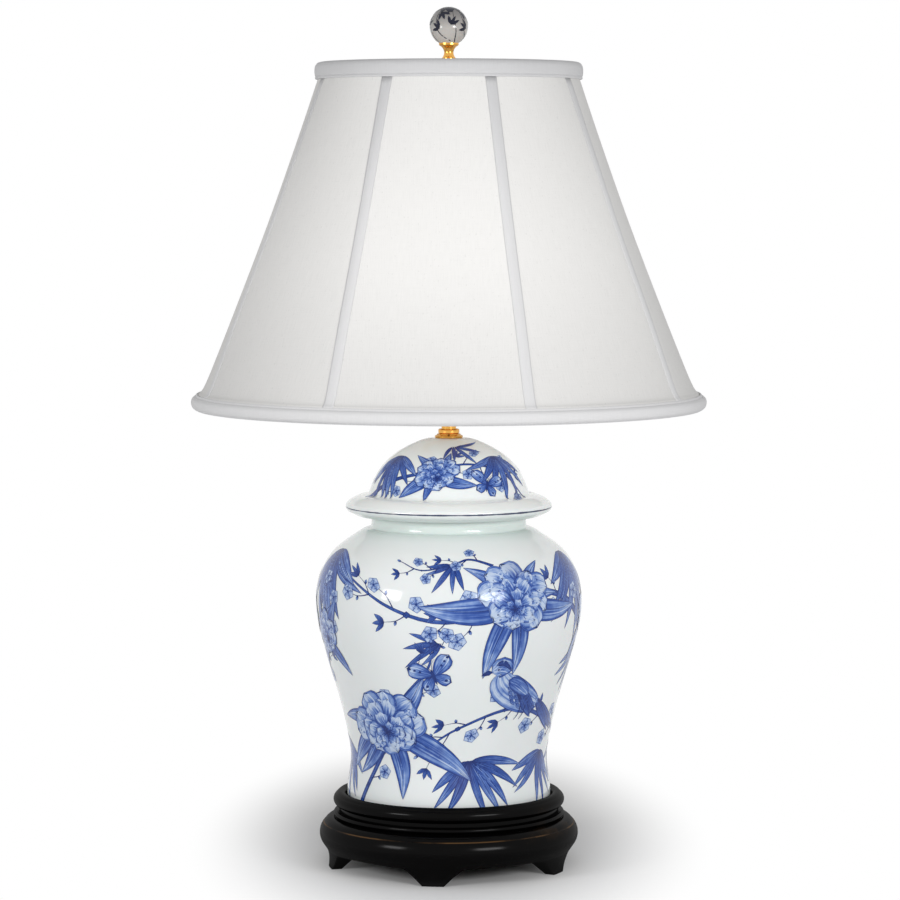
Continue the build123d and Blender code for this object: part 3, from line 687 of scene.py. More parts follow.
@dataclass
class Glaze:
    """A turned surface to paint on, known by its outline."""

    outline: list[tuple[float, float]]

    @classmethod
    def from_node(cls, node: str, low: float, high: float) -> "Glaze":
        """Reads a turned node's outer outline between two heights."""
        outer: dict[float, float] = {}
        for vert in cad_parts[node].data.vertices:
            if low <= vert.co.z <= high and vert.normal.xy.dot(vert.co.xy) > 0:
                level = round(vert.co.z, 5)
                outer[level] = max(outer.get(level, 0.0), vert.co.xy.length)
        return cls([(radius, z) for z, radius in sorted(outer.items())])

    def __post_init__(self) -> None:
        """Works out how far along the outline each point lies."""
        self.reach = run_lengths(self.outline)

    def along(self, z: float) -> float:
        """How far along the outline a height lies."""
        for (_, z0), (_, z1), start, end in zip(
            self.outline, self.outline[1:], self.reach, self.reach[1:]
        ):
            if z0 <= z <= z1:
                return start + (end - start) * (z - z0) / max(z1 - z0, WELD)
        return self.reach[-1] if z > self.outline[-1][1] else 0.0

    def place(self, angle: float, x: float, along: float, lift: float) -> Vector:
        """A point on the glaze.

        Args:
            angle: Where the motif's own middle line stands.
            x: How far round from that line, in metres.
            along: How far along the outline, in metres.
            lift: How far off the surface, in metres.

        Returns:
            The point.
        """
        along = min(max(along, 0.0), self.reach[-1] - WELD)
        low, high = 0, len(self.reach) - 1
        while high - low > 1:
            middle = (low + high) // 2
            if self.reach[middle] <= along:
                low = middle
            else:
                high = middle
        (r0, z0), (r1, z1) = self.outline[low], self.outline[high]
        run = max(self.reach[high] - self.reach[low], WELD)
        share = (along - self.reach[low]) / run
        radius = r0 + (r1 - r0) * share
        z = z0 + (z1 - z0) * share
        turn = angle + math.degrees(x / max(radius, 4 * MM))
        out = radius + lift * (z1 - z0) / run
        return outward(turn) * out + Vector((0, 0, z - lift * (r1 - r0) / run))


class Painter:
    """Lays brush strokes on a glaze as thin curved patches, each over the last.

    Strokes are drawn in millimetres round the motif's place, x to the right and y up.
    """

    first_lift = 0.12 * MM
    layer_lift = 0.16 * MM
    stroke_lift = 0.0025 * MM
    row_length = 3.2
    line_steps = 24
    thin_width = 1.2
    narrow_width = 6.0

    def __init__(self, glaze: Glaze, seed: int) -> None:
        """Starts an empty painting on a glaze."""
        self.glaze = glaze
        self.chance = random.Random(seed)
        self.bm = bmesh.new()
        self.uv = self.bm.loops.layers.uv.new("UVMap")
        self.tone = self.bm.verts.layers.float.new("tone")
        self.rim = self.bm.verts.layers.float.new("rim")
        self.move(0.0, 0.0)

    def move(
        self, angle: float, z: float, turn: float = 0.0, size: float = 1.0, layer: int = 0
    ) -> "Painter":
        """Sets where the next strokes go.

        Args:
            angle: The angle of their middle line.
            z: Its height, in metres.
            turn: How far they are turned there.
            size: How much larger than drawn.
            layer: Over how many other layers.

        Returns:
            The painter.
        """
        self.lift = self.first_lift + layer * self.layer_lift
        self.angle = angle
        self.base = self.glaze.along(z)
        self.turn = math.radians(turn)
        self.size = size
        return self

    def stroke(
        self, path: Sequence[Sequence[float]], width: float, form: Form = Form.STROKE,
        tone: tuple[float, float] = (0.8, 0.8), scallops: float = 0.0,
    ) -> None:
        """Lays one brush stroke.

        Args:
            path: The points that its middle line passes through.
            width: Its full width, in millimetres.
            form: How the width runs along it.
            tone: How dark it is at its start and end, from 0 to 1.
            scallops: How deep its end is waved, as a share of its length.
        """
        line = smooth_path([(*point, 0.0) for point in path], self.line_steps)
        length = sum((end - start).length for start, end in zip(line, line[1:]))
        rows = max(3, round(length * self.size / self.row_length))
        columns = 10 if scallops else 2 if width < self.narrow_width else 4
        made = bmesh.ops.create_grid(
            self.bm, x_segments=columns, y_segments=rows, size=0.5, calc_uvs=True
        )
        cos, sin = math.cos(self.turn), math.sin(self.turn)
        thin = width < self.thin_width
        for vert in made["verts"]:
            u, v = 2 * vert.co.x, vert.co.y + 0.5
            half = width / 2 * form.share(v)
            if scallops:
                v *= 1 - scallops * v * (0.5 - 0.5 * math.cos(3 * math.pi * (u + 1)))
            spot = v * self.line_steps
            low = min(int(spot), self.line_steps - 1)
            point = line[low].lerp(line[low + 1], spot - low)
            ahead = (line[low + 1] - line[low]).normalized()
            point = point + Vector((ahead.y, -ahead.x, 0)) * (u * half)
            vert[self.tone] = tone[0] + (tone[1] - tone[0]) * v
            end = (1 - v) * (line[-1] - line[0]).length
            vert[self.rim] = 0.0 if thin else min(half * (1 - abs(u)), end * 1.5) * self.size
            x, y = point.x * self.size, point.y * self.size
            vert.co = self.glaze.place(
                self.angle, (x * cos - y * sin) * MM, self.base + (x * sin + y * cos) * MM,
                self.lift,
            )
        self.lift += self.stroke_lift

    def dot(self, x: float, y: float, radius: float, tone: float = 0.9) -> None:
        """Lays a round dab of the brush."""
        self.stroke([(x, y - radius), (x, y + radius)], 2 * radius, Form.OVAL, (tone, tone))

    def leaf(
        self, x: float, y: float, heading: float, length: float, width: float,
        bend: float = 0.0, tone: tuple[float, float] = (0.95, 0.3),
    ) -> None:
        """Lays a leaf with its vein, from its stalk, bending to one side."""
        turn = math.radians(heading)
        ahead = Vector((math.cos(turn), math.sin(turn)))
        side = Vector((-ahead.y, ahead.x))
        start = Vector((x, y))
        path = [
            start + ahead * length * t + side * bend * length * t * t for t in (0, 0.35, 0.7, 1)
        ]
        self.stroke(path, width, Form.LEAF, tone)
        vein = [start + (spot - start) * 0.93 for spot in path]
        self.stroke(vein, min(0.9, width * 0.09), Form.STROKE, (0.95, 0.8))

    def spray(self, count: int, length: float, spread: float, heading: float = -90.0) -> None:
        """Lays a hanging spray of long narrow leaves from one joint."""
        for number in range(count):
            share = number / max(count - 1, 1) - 0.5
            reach = length * (1 - 0.55 * abs(share)) * self.chance.uniform(0.82, 1.08)
            self.leaf(
                3.0 * share, 0.0, heading + spread * share, reach,
                length * self.chance.uniform(0.10, 0.15), bend=self.chance.uniform(-0.25, 0.25),
                tone=(self.chance.uniform(0.75, 1.0), self.chance.uniform(0.2, 0.5)),
            )

    def blossom(self, x: float, y: float, radius: float, turn: float = 0.0) -> None:
        """Lays a small five-petalled blossom with its stamens."""
        for petal in range(5):
            tip = ray((x, y), radius, turn + petal * 72)
            self.stroke([(x, y), tip], radius * 0.98, Form.PETAL, (0.5, 0.02))
        for stamen in range(7):
            tip = ray((x, y), radius * 0.5, turn + 20 + stamen * 51)
            self.stroke([(x, y), tip], 0.3, tone=(0.9, 0.9))
            self.dot(*tip, 0.42)
        self.dot(x, y, radius * 0.13, 0.75)

    def bud(self, x: float, y: float, heading: float, length: float) -> None:
        """Lays a closed bud in its cup."""
        tip = ray((x, y), length, heading)
        self.stroke([(x, y), tip], length * 0.62, Form.OVAL, (0.45, 0.1))
        for side in (-28, 28):
            self.leaf(x, y, heading + side, length * 0.55, length * 0.3, tone=(0.9, 0.7))

    def peony(self, radius: float, squash: float = 0.8) -> None:
        """Lays a full bloom: rings of wide waved petals round a tuft, seen from one side."""
        rings = ((9, 1.0, 0.92, -8), (7, 0.78, 0.86, 14), (6, 0.56, 0.8, 36), (5, 0.34, 0.7, 5))
        for number, (count, reach, width, start) in enumerate(rings):
            for petal in range(count):
                way = math.radians(start + petal * 360 / count + self.chance.uniform(-6, 6))
                far = radius * reach * self.chance.uniform(0.92, 1.06)
                tip = Vector((math.cos(way) * far, math.sin(way) * far * squash))
                raise_y = radius * 0.09 * number
                curl = Vector((-tip.y, tip.x)) * self.chance.uniform(-0.14, 0.14)
                foot = tip * 0.12
                middle = tip * 0.55 + curl
                path = [(spot.x, spot.y - raise_y) for spot in (foot, middle, tip)]
                self.stroke(
                    path, far * width * (0.75 + 0.12 * number), Form.PETAL,
                    (1.1 - 0.08 * number, self.chance.uniform(-0.05, 0.2)), scallops=0.07,
                )
        for stamen in range(14):
            way = math.radians(stamen * 26)
            reach = radius * (0.12 if stamen % 2 else 0.17)
            x, y = math.cos(way) * reach, math.sin(way) * reach * squash - radius * 0.27
            self.stroke([(0, -radius * 0.27), (x, y)], 0.35, tone=(0.9, 0.9))
            self.dot(x, y, 0.6)

    def branch(
        self, path: Sequence[Sequence[float]], width: float, twigs: int, bloom: float
    ) -> None:
        """Lays a knotted branch with twigs that end in blossoms, buds and leaflets.

        Args:
            path: The points that the branch passes through.
            width: Its width where it starts.
            twigs: How many twigs it has, on alternate sides.
            bloom: The blossoms' radius.
        """
        self.stroke(path, width, Form.STROKE, (0.75, 0.6))
        line = smooth_path([(*point, 0.0) for point in path], self.line_steps)
        for knot in range(3, 22, 5):
            spot = line[knot]
            self.dot(spot.x, spot.y, width * self.chance.uniform(0.35, 0.5), 0.85)
        level = self.lift
        for number in range(twigs):
            self.lift = level
            index = int(3 + 20 * (number + self.chance.uniform(0.1, 0.9)) / twigs)
            index = min(index, self.line_steps - 1)
            spot, ahead = line[index], line[index] - line[index - 1]
            side = 1 if number % 2 else -1
            heading = math.degrees(math.atan2(ahead.y, ahead.x))
            heading += side * self.chance.uniform(38, 62)
            reach = bloom * self.chance.uniform(2.0, 3.4) * 0.5
            middle = ray(spot, reach, heading)
            onward = heading - side * 22
            tip = ray(middle, reach, onward)
            self.stroke([spot.xy, middle, tip], 1.1, tone=(0.85, 0.85))
            self.bud(*middle, heading + side * 50, bloom * 0.55)
            if number % 3 == 2:
                for leaflet in (-40, 0, 40):
                    self.leaf(*tip, onward + leaflet, bloom * 1.5, bloom * 0.55)
            else:
                radius = bloom * self.chance.uniform(0.85, 1.1)
                self.blossom(*tip, radius, self.chance.uniform(0, 72))
        tip, ahead = line[-1], line[-1] - line[-2]
        self.bud(tip.x, tip.y, math.degrees(math.atan2(ahead.y, ahead.x)), bloom * 0.7)

    def bird(self) -> None:
        """Lays a perched song bird about 60 mm long that looks to the left."""
        for number in range(3):
            self.leaf(14, -6, -38 - 7 * number, 36 - 3 * number, 5.5, 0.06, (0.9, 0.55))
        body = [(-15, 13), (-11, 4), (2, -4), (17, -10)]
        self.stroke(body, 20, Form.OVAL, (0.3, 0.55))
        for row in range(4):
            for feather in range(4):
                x, y = -9 + 4.6 * feather + row, 3.5 - 2.9 * feather - 2.6 * row
                self.leaf(x, y, -48, 5.5, 2.6, tone=(0.55, 0.2))
        for number in range(6):
            self.leaf(
                -6 + 1.4 * number, 6 - 1.9 * number, -36 - 3 * number, 27 - 2.2 * number, 5.0,
                -0.08, (0.95, 0.5),
            )
        self.stroke([(-9, 8), (-2, 4), (7, -3)], 9, Form.OVAL, (0.8, 0.45))
        self.stroke([(-21, 13), (-15, 16), (-9, 13)], 13, Form.OVAL, (0.35, 0.6))
        self.stroke([(-19, 17.5), (-14, 18.5), (-8, 13)], 3.6, Form.LEAF, (0.95, 0.85))
        self.stroke([(-20, 13.5), (-24, 12.6), (-27, 11.2)], 3.2, Form.LEAF, (0.95, 1.0))
        self.dot(-17.0, 14.6, 1.25, -0.4)
        self.dot(-17.0, 14.6, 0.75, 1.2)
        for foot in (2.5, 6.0):
            self.stroke([(foot, -9), (foot - 1, -14), (foot - 3.5, -17.5)], 0.9, tone=(0.95, 0.95))

    def butterfly(self, span: float) -> None:
        """Lays a butterfly with spotted wings."""
        for side in (-1, 1):
            upper = (side * span * 0.48, span * 0.34)
            lower = (side * span * 0.3, -span * 0.26)
            feeler = [
                (side * span * x, span * y) for x, y in ((0, 0.1), (0.07, 0.28), (0.16, 0.36))
            ]
            self.stroke([(0, 0), upper], span * 0.36, Form.PETAL, (0.9, 0.2), scallops=0.08)
            self.stroke([(0, 0), lower], span * 0.28, Form.PETAL, (0.95, 0.25), scallops=0.08)
            for share in (0.5, 0.7, 0.88):
                self.dot(upper[0] * share, upper[1] * share, span * 0.03, 0.95)
            self.dot(lower[0] * 0.7, lower[1] * 0.7, span * 0.035, 0.95)
            self.stroke(feeler, 0.4, tone=(0.95, 0.95))
        self.stroke([(0, span * 0.16), (0, -span * 0.22)], span * 0.07, Form.LEAF, (0.95, 0.85))

    def finish(self, name: str, material: bpy.types.Material, body: str, slot: str) -> None:
        """Closes the painting and makes it a piece."""
        bmesh.ops.remove_doubles(self.bm, verts=self.bm.verts, dist=WELD)
        make_piece(name, self.bm, material, body)


# ------------------------------------------------------------------ the lamp's sub-assemblies


@dataclass
class Stand:
    """Black lacquered ring with carved feet, and the board let into it."""

    lacquer: bpy.types.Material
    nodes: tuple[str, ...] = ("stand", "stand_board")

    def build(self) -> None:
        """Dresses the turned wood."""
        for node in self.nodes:
            dress(node, self.lacquer)


@dataclass
class Jar:
    """Porcelain jar and lid with their brushwork."""

    glaze: bpy.types.Material
    lined_glaze: bpy.types.Material
    blue: bpy.types.Material
    foot: float = 54 * MM
    neck: float = 294 * MM
    brim: float = 308 * MM
    crown: float = 365 * MM
    halves: tuple[float, float] = (0.0, 180.0)

    def build(self) -> None:
        """Dresses and paints both pieces."""
        dress("jar_body", self.glaze)
        dress("jar_lid", self.lined_glaze)
        body = Painter(Glaze.from_node("jar_body", self.foot, self.neck), seed=5)
        for middle in self.halves:
            self.paint_side(body, middle)
        body.finish("jar_painting", self.blue, "lamp", "porcelain")
        lid = Painter(Glaze.from_node("jar_lid", self.brim, self.crown), seed=8)
        for middle in self.halves:
            self.paint_lid(lid, middle)
        lid.finish("lid_painting", self.blue, "lamp", "porcelain")

    def paint_side(self, brush: Painter, middle: float) -> None:
        """Paints the half of the jar round an angle."""

        def at(angle: float, z: float, **how) -> Painter:
            """Moves the brush to a place in this half, z in millimetres."""
            return brush.move(middle + angle, z * MM, **how)

        at(28, 230).branch(
            [(112, -30), (62, 6), (10, 14), (-50, -8), (-104, 2), (-160, 34)], 6.5, 15, 8
        )
        at(84, 128).branch([(24, -20), (-28, 2), (-80, 18), (-124, 2), (-150, -22)], 5, 12, 7)
        at(-36, 122).branch(
            [(-34, -64), (-18, -34), (0, -6), (18, 30), (48, 62), (54, 84)], 5, 7, 7
        )
        at(-74, 196).branch([(-40, -50), (-16, -18), (10, 14), (18, 52)], 4, 8, 7)
        at(2, 268).branch([(34, -2), (14, 5), (0, 0), (-26, -6), (-44, 2)], 2.6, 6, 5.5)
        for angle, z, count, length, spread, heading in (
            (-72, 274, 8, 88, 92, -78), (74, 272, 8, 84, 84, -104), (12, 102, 8, 60, 150, -70),
            (66, 104, 7, 56, 110, -112), (-84, 112, 7, 60, 110, -84), (-4, 204, 4, 40, 84, 200),
            (86, 190, 6, 54, 100, -120), (2, 268, 5, 34, 90, -122),
        ):
            at(angle, z).spray(count, length, spread, heading)
        for angle, z, turn, radius, leaves in (
            (30, 240, -10, 36,
             ((196, 82), (232, 66), (286, 60), (-22, 70), (22, 44), (126, 50), (66, 44))),
            (-36, 134, 12, 37, ((-18, 82), (204, 62), (-62, 62), (160, 54), (246, 56), (30, 60))),
            (-70, 204, 40, 23, ((-30, 42), (40, 44), (120, 38), (220, 40))),
            (88, 218, -30, 23, ((150, 42), (210, 44), (260, 38), (80, 40))),
        ):
            for number, (heading, length) in enumerate(leaves):
                at(angle, z - 4, layer=1).leaf(
                    0, 0, heading, length, length * 0.28, 0.3 if number % 2 else -0.26, (1.0, 0.28)
                )
            at(angle, z, turn=turn, layer=2).peony(radius)
        at(37, 160, size=1.45, layer=1).bird()
        at(-7, 176, turn=20, layer=1).butterfly(40)

    def paint_lid(self, brush: Painter, middle: float) -> None:
        """Paints the half of the lid round an angle."""

        def at(angle: float, z: float, **how) -> Painter:
            """Moves the brush to a place in this half, z in millimetres."""
            return brush.move(middle + angle, z * MM, **how)

        at(-8, 336).branch([(-84, -24), (-44, -4), (-8, 6), (22, 14), (58, 4), (88, -20)], 4, 13, 6)
        for angle, z, count, length, spread, heading in (
            (52, 352, 7, 52, 110, -96), (-58, 352, 8, 54, 110, -84), (8, 360, 5, 30, 130, -60),
        ):
            at(angle, z, layer=1).spray(count, length, spread, heading)
        at(30, 330, turn=-20, layer=1).butterfly(30)
        for heading, length in ((-24, 36), (200, 38), (236, 24), (120, 30), (60, 28)):
            at(-10, 337, layer=1).leaf(0, 0, heading, length, length * 0.3, 0.2, (1.0, 0.3))
        at(-10, 340, turn=10, layer=2).peony(20)


@dataclass
class Finial:
    """Turned brass foot and painted glazed ball."""

    glaze: bpy.types.Material
    brass: bpy.types.Material
    ink: bpy.types.Material
    steel: bpy.types.Material

    def build(self) -> None:
        """Dresses the finial and paints its ball."""
        dress("finial_base", self.brass)
        dress("finial_rod", self.steel)
        dress("finial_ball", self.glaze)
        low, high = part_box("finial_ball")
        radius = (high.x - low.x) / 2
        middle = high.z - radius
        outline = [
            (radius * math.sin(math.radians(step)), middle - radius * math.cos(math.radians(step)))
            for step in range(20, 177, 3)
        ]
        brush = Painter(Glaze(outline), seed=11)
        for side in range(4):
            brush.move(side * 90 - 22, middle, 6)
            brush.stroke([(6, -17), (-4, -4), (-4, 9), (3, 20)], 1.0, tone=(0.5, 0.6))
            brush.stroke([(7, -16), (12, -3), (8, 16)], 0.9, tone=(0.45, 0.6))
            for x, y, heading in ((-2, -2, 150), (8, 0, 70), (0, 13, -60)):
                for turn in (-48, -10, 34):
                    brush.leaf(x, y, heading + turn, 8.5, 3.0, tone=(0.95, 0.65))
        for turn in range(0, 360, 30):
            brush.move(turn, middle, layer=1)
            brush.leaf(0, 23, -90 + 22 * math.sin(turn), 11.5, 5.6, tone=(1.0, 0.75))
        brush.finish("finial_painting", self.ink, "finial", "ball_glaze")


@dataclass
class Shade:
    """Eight-panel bell shade: cloth, liner, rib tapes and rolled rims on its wire frame."""

    linen: bpy.types.Material
    lining: bpy.types.Material
    tape: bpy.types.Material
    enamel: bpy.types.Material
    panels: int = 8
    first_seam: float = 18.0
    columns: int = 12
    rows: int = 56
    cloth: float = 0.8 * MM
    liner: float = 0.6 * MM
    liner_inset: float = 4.7 * MM
    tape_width: float = 9.5 * MM
    tape_cloth: float = 0.45 * MM
    tape_lift: float = 0.3 * MM
    gore_pitch: float = 0.31
    rim_steps: int = 192
    flat_share: float = 0.020
    profile: tuple[tuple[float, float], ...] = (
        (0.3936, 0.2150), (0.4026, 0.2120), (0.4240, 0.2004), (0.5500, 0.1512),
        (0.6670, 0.1107), (0.6798, 0.1089),
    )
    top_trim: float = 0.667
    bottom_trim: float = 0.4026

    def __post_init__(self) -> None:
        """Works out the levels that the cloth is laid through."""
        self.levels = [(point.x, point.y) for point in self.side_curve()]

    def side_curve(self) -> list[Vector]:
        """Height and radius along the middle of a panel, smooth, from the bottom."""
        return smooth_path([(z, radius, 0.0) for z, radius in self.profile], self.rows)

    def flatness(self, z: float) -> float:
        """How much nearer the axis the panel's middle is than its seams, at a height."""
        along = (z - self.bottom_trim) / (self.top_trim - self.bottom_trim)
        if not 0 < along < 1:
            return 0.0
        return self.flat_share * min(1.0, 4 * along * (1 - along) + 0.2)

    def skin_point(self, turns: float, z: float, radius: float, outset: float) -> Vector:
        """A point of the skin.

        Args:
            turns: Place round the shade, counted in panels from the first seam.
            z: Its height.
            radius: The radius at the middle of a panel there.
            outset: How far outside the cloth's outer face.

        Returns:
            The point.
        """
        across = 2 * (turns - math.floor(turns)) - 1
        seam = radius / (1 - self.flatness(z))
        reach = radius + (seam - radius) * across * across + outset
        return outward(self.first_seam + turns * 360 / self.panels) * reach + Vector((0, 0, z))

    def skin(
        self, name: str, outset: float, material: bpy.types.Material, node: str
    ) -> bpy.types.Object:
        """Makes a skin of eight panels, with a UV map in metres on each panel."""
        bm = bmesh.new()
        uv = bm.loops.layers.uv.new("UVMap")
        around = self.panels * self.columns
        bmesh.ops.create_grid(bm, x_segments=around, y_segments=self.rows, size=0.5)
        slope = run_lengths(self.levels)
        spots = {}
        for vert in bm.verts:
            turns = round((vert.co.x + 0.5) * around) / self.columns
            row = round((vert.co.y + 0.5) * self.rows)
            spots[vert] = (turns, row)
        for face in bm.faces:
            panel = math.floor(sum(spots[v][0] for v in face.verts) / len(face.verts))
            for loop in face.loops:
                turns, row = spots[loop.vert]
                width = self.levels[row][1] * math.tau / self.panels
                across = panel * self.gore_pitch + (turns - panel - 0.5) * width
                loop[uv].uv = (across, slope[row])
        for vert, (turns, row) in spots.items():
            vert.co = self.skin_point(turns, *self.levels[row], outset)
        bmesh.ops.remove_doubles(bm, verts=bm.verts, dist=WELD)
        bmesh.ops.recalc_face_normals(bm, faces=bm.faces)
        return make_piece(name, bm, material, "shade", [node])

    def tapes(self) -> bpy.types.Object:
        """Makes the eight tapes that cover the seams."""
        bm = bmesh.new()
        uv = bm.loops.layers.uv.new("UVMap")
        start, end = self.bottom_trim - 3 * MM, self.top_trim + 5 * MM
        levels = [level for level in self.levels if start < level[0] < end]
        rows = len(levels) - 1
        for seam in range(self.panels):
            made = bmesh.ops.create_grid(bm, x_segments=6, y_segments=rows, size=0.5)
            for vert in made["verts"]:
                x, row = vert.co.x * self.tape_width, round((vert.co.y + 0.5) * rows)
                z, radius = levels[row]
                turns = seam + x / radius * self.panels / math.tau
                lift = self.tape_lift * (2 - (2 * vert.co.x) ** 2)
                for loop in vert.link_loops:
                    loop[uv].uv = (x, z)
                vert.co = self.skin_point(turns % self.panels, z, radius, lift)
        bmesh.ops.recalc_face_normals(bm, faces=bm.faces)
        for face in bm.faces:
            if face.normal.dot(Vector((*face.calc_center_median().xy, 0.0))) < 0:
                face.normal_flip()
        return make_piece("rib_tapes", bm, self.tape, "shade", ["shade_rib_tapes"])

    def trim(self, name: str, section: Outline, node: str) -> bpy.types.Object:
        """Makes a rolled rim from its section, in millimetres, as a closed ring."""
        knots = [(radius * MM, z * MM, 0.0) for radius, z in [*section, section[0]]]
        rounded = smooth_path(knots, 5 * len(section))[:-1]
        bm = spun([(point.x, point.y) for point in rounded], self.rim_steps)
        uv = bm.loops.layers.uv.new("UVMap")
        for face in bm.faces:
            middle = face.calc_center_median()
            base = math.atan2(middle.x, -middle.y)
            for loop in face.loops:
                turn = math.atan2(loop.vert.co.x, -loop.vert.co.y)
                turn += math.tau * round((base - turn) / math.tau)
                loop[uv].uv = (turn * loop.vert.co.xy.length, loop.vert.co.z)
        return make_piece(name, bm, self.tape, "shade", [node])

    def build(self) -> None:
        cover = self.skin("cover_cloth", 0.0, self.linen, "shade_cover")
        thicken(cover, self.cloth)
        liner = self.skin("liner_cloth", -self.liner_inset, self.lining, "shade_liner")
        thicken(liner, self.liner)
        tapes = self.tapes()
        thicken(tapes, self.tape_cloth)
        top = self.trim("top_rim_band", (
            (111.5, 668.0), (112.5, 668.3), (112.6, 669.7), (112.1, 670.2), (112.8, 671.2),
            (113.1, 675.2), (112.5, 679.2), (109.9, 682.0), (105.4, 682.3), (102.3, 680.0),
            (102.4, 674.0), (103.6, 667.5), (104.6, 668.0), (103.8, 675.0), (104.2, 679.4),
            (109.0, 680.3), (110.6, 674.5),
        ), "shade_top_trim")
        bottom = self.trim("bottom_rim_band", (
            (212.7, 403.4), (213.7, 403.3), (214.6, 401.9), (214.4, 401.3), (215.4, 401.5),
            (217.5, 399.6), (218.2, 396.6), (217.4, 393.2), (215.4, 391.1), (214.6, 391.2),
            (213.6, 390.3), (209.8, 390.6), (207.9, 393.4), (205.1, 401.8), (206.2, 402.0),
            (209.2, 394.4), (212.4, 392.8), (215.3, 393.6),
        ), "shade_bottom_trim")
        for node in ("shade_top_ring", "shade_bottom_ring", "shade_ribs", "spider_washer",
                     "spider_arm_1", "spider_arm_2", "spider_arm_3"):
            dress(node, self.enamel)


@dataclass
class Fittings:
    """Pipe, nuts, socket, switch, bulb and harp."""

    brass: bpy.types.Material
    steel: bpy.types.Material
    thread: bpy.types.Material
    phenolic: bpy.types.Material
    fibre: bpy.types.Material
    knob: bpy.types.Material
    ivory: bpy.types.Material
    vitrite: bpy.types.Material
    bulb: bpy.types.Material
    stem: bpy.types.Material
    filament: bpy.types.Material
    lamp_power: float = 0.015
    lamp_colour: Colour = (1.0, 0.93, 0.82)
    groups: dict[str, tuple[str, ...]] = field(default_factory=lambda: {
        "brass": (
            "vase_cap", "neck_locknut", "neck_tube", "harp_saddle", "harp_wire", "harp_swivel",
            "ferrule_left", "ferrule_right", "socket_cap", "socket_shell", "terminal_screws",
            "screw_shell", "centre_contact", "switch_shaft",
        ),
        "steel": ("base_washer", "base_lock_washer", "base_locknut", "lamp_pipe", "bulb_contact"),
        "thread": ("bulb_base",),
        "phenolic": ("socket_core",),
        "fibre": ("socket_liner",),
        "knob": ("switch_knob",),
        "ivory": ("cord_bushing",),
        "vitrite": ("bulb_insulator",),
        "bulb": ("bulb_glass",),
        "stem": ("bulb_stem",),
        "filament": ("bulb_filament",),
    })

    def build(self) -> None:
        """Dresses every fitting and lights the bulb."""
        for finish, nodes in self.groups.items():
            for node in nodes:
                dress(node, getattr(self, finish))
        for node in ("bulb_glass", "bulb_stem", "bulb_filament"):
            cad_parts[node].visible_shadow = False
        low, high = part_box("bulb_glass")
        light = bpy.data.lights.new("bulb_light", "POINT")
        light.energy = self.lamp_power
        light.color = self.lamp_colour
        light.shadow_soft_size = (high.x - low.x) / 2
        lamp = bpy.data.objects.new("bulb_light", light)
        lamp.location = (0, 0, high.z - light.shadow_soft_size)
        bpy.context.scene.collection.objects.link(lamp)


# ------------------------------------------------------------------ studio


@dataclass(frozen=True)
class Softbox:
    """An area light that stands round the lamp and is turned to its middle."""

    name: str
    angle: float
    distance: float
    size: tuple[float, float]
    power: float
    height: float = 0.62
    aim_height: float = 0.3

    def build(self) -> None:
        """Adds the light."""
        light = bpy.data.lights.new(self.name, "AREA")
        light.shape = "RECTANGLE"
        light.size, light.size_y = self.size
        light.energy = self.power
        box = bpy.data.objects.new(self.name, light)
        box.location = outward(self.angle) * self.distance + Vector((0, 0, self.height))
        aim = Vector((0, 0, self.aim_height)) - box.location
        box.rotation_euler = aim.to_track_quat("-Z", "Y").to_euler()
        bpy.context.scene.collection.objects.link(box)


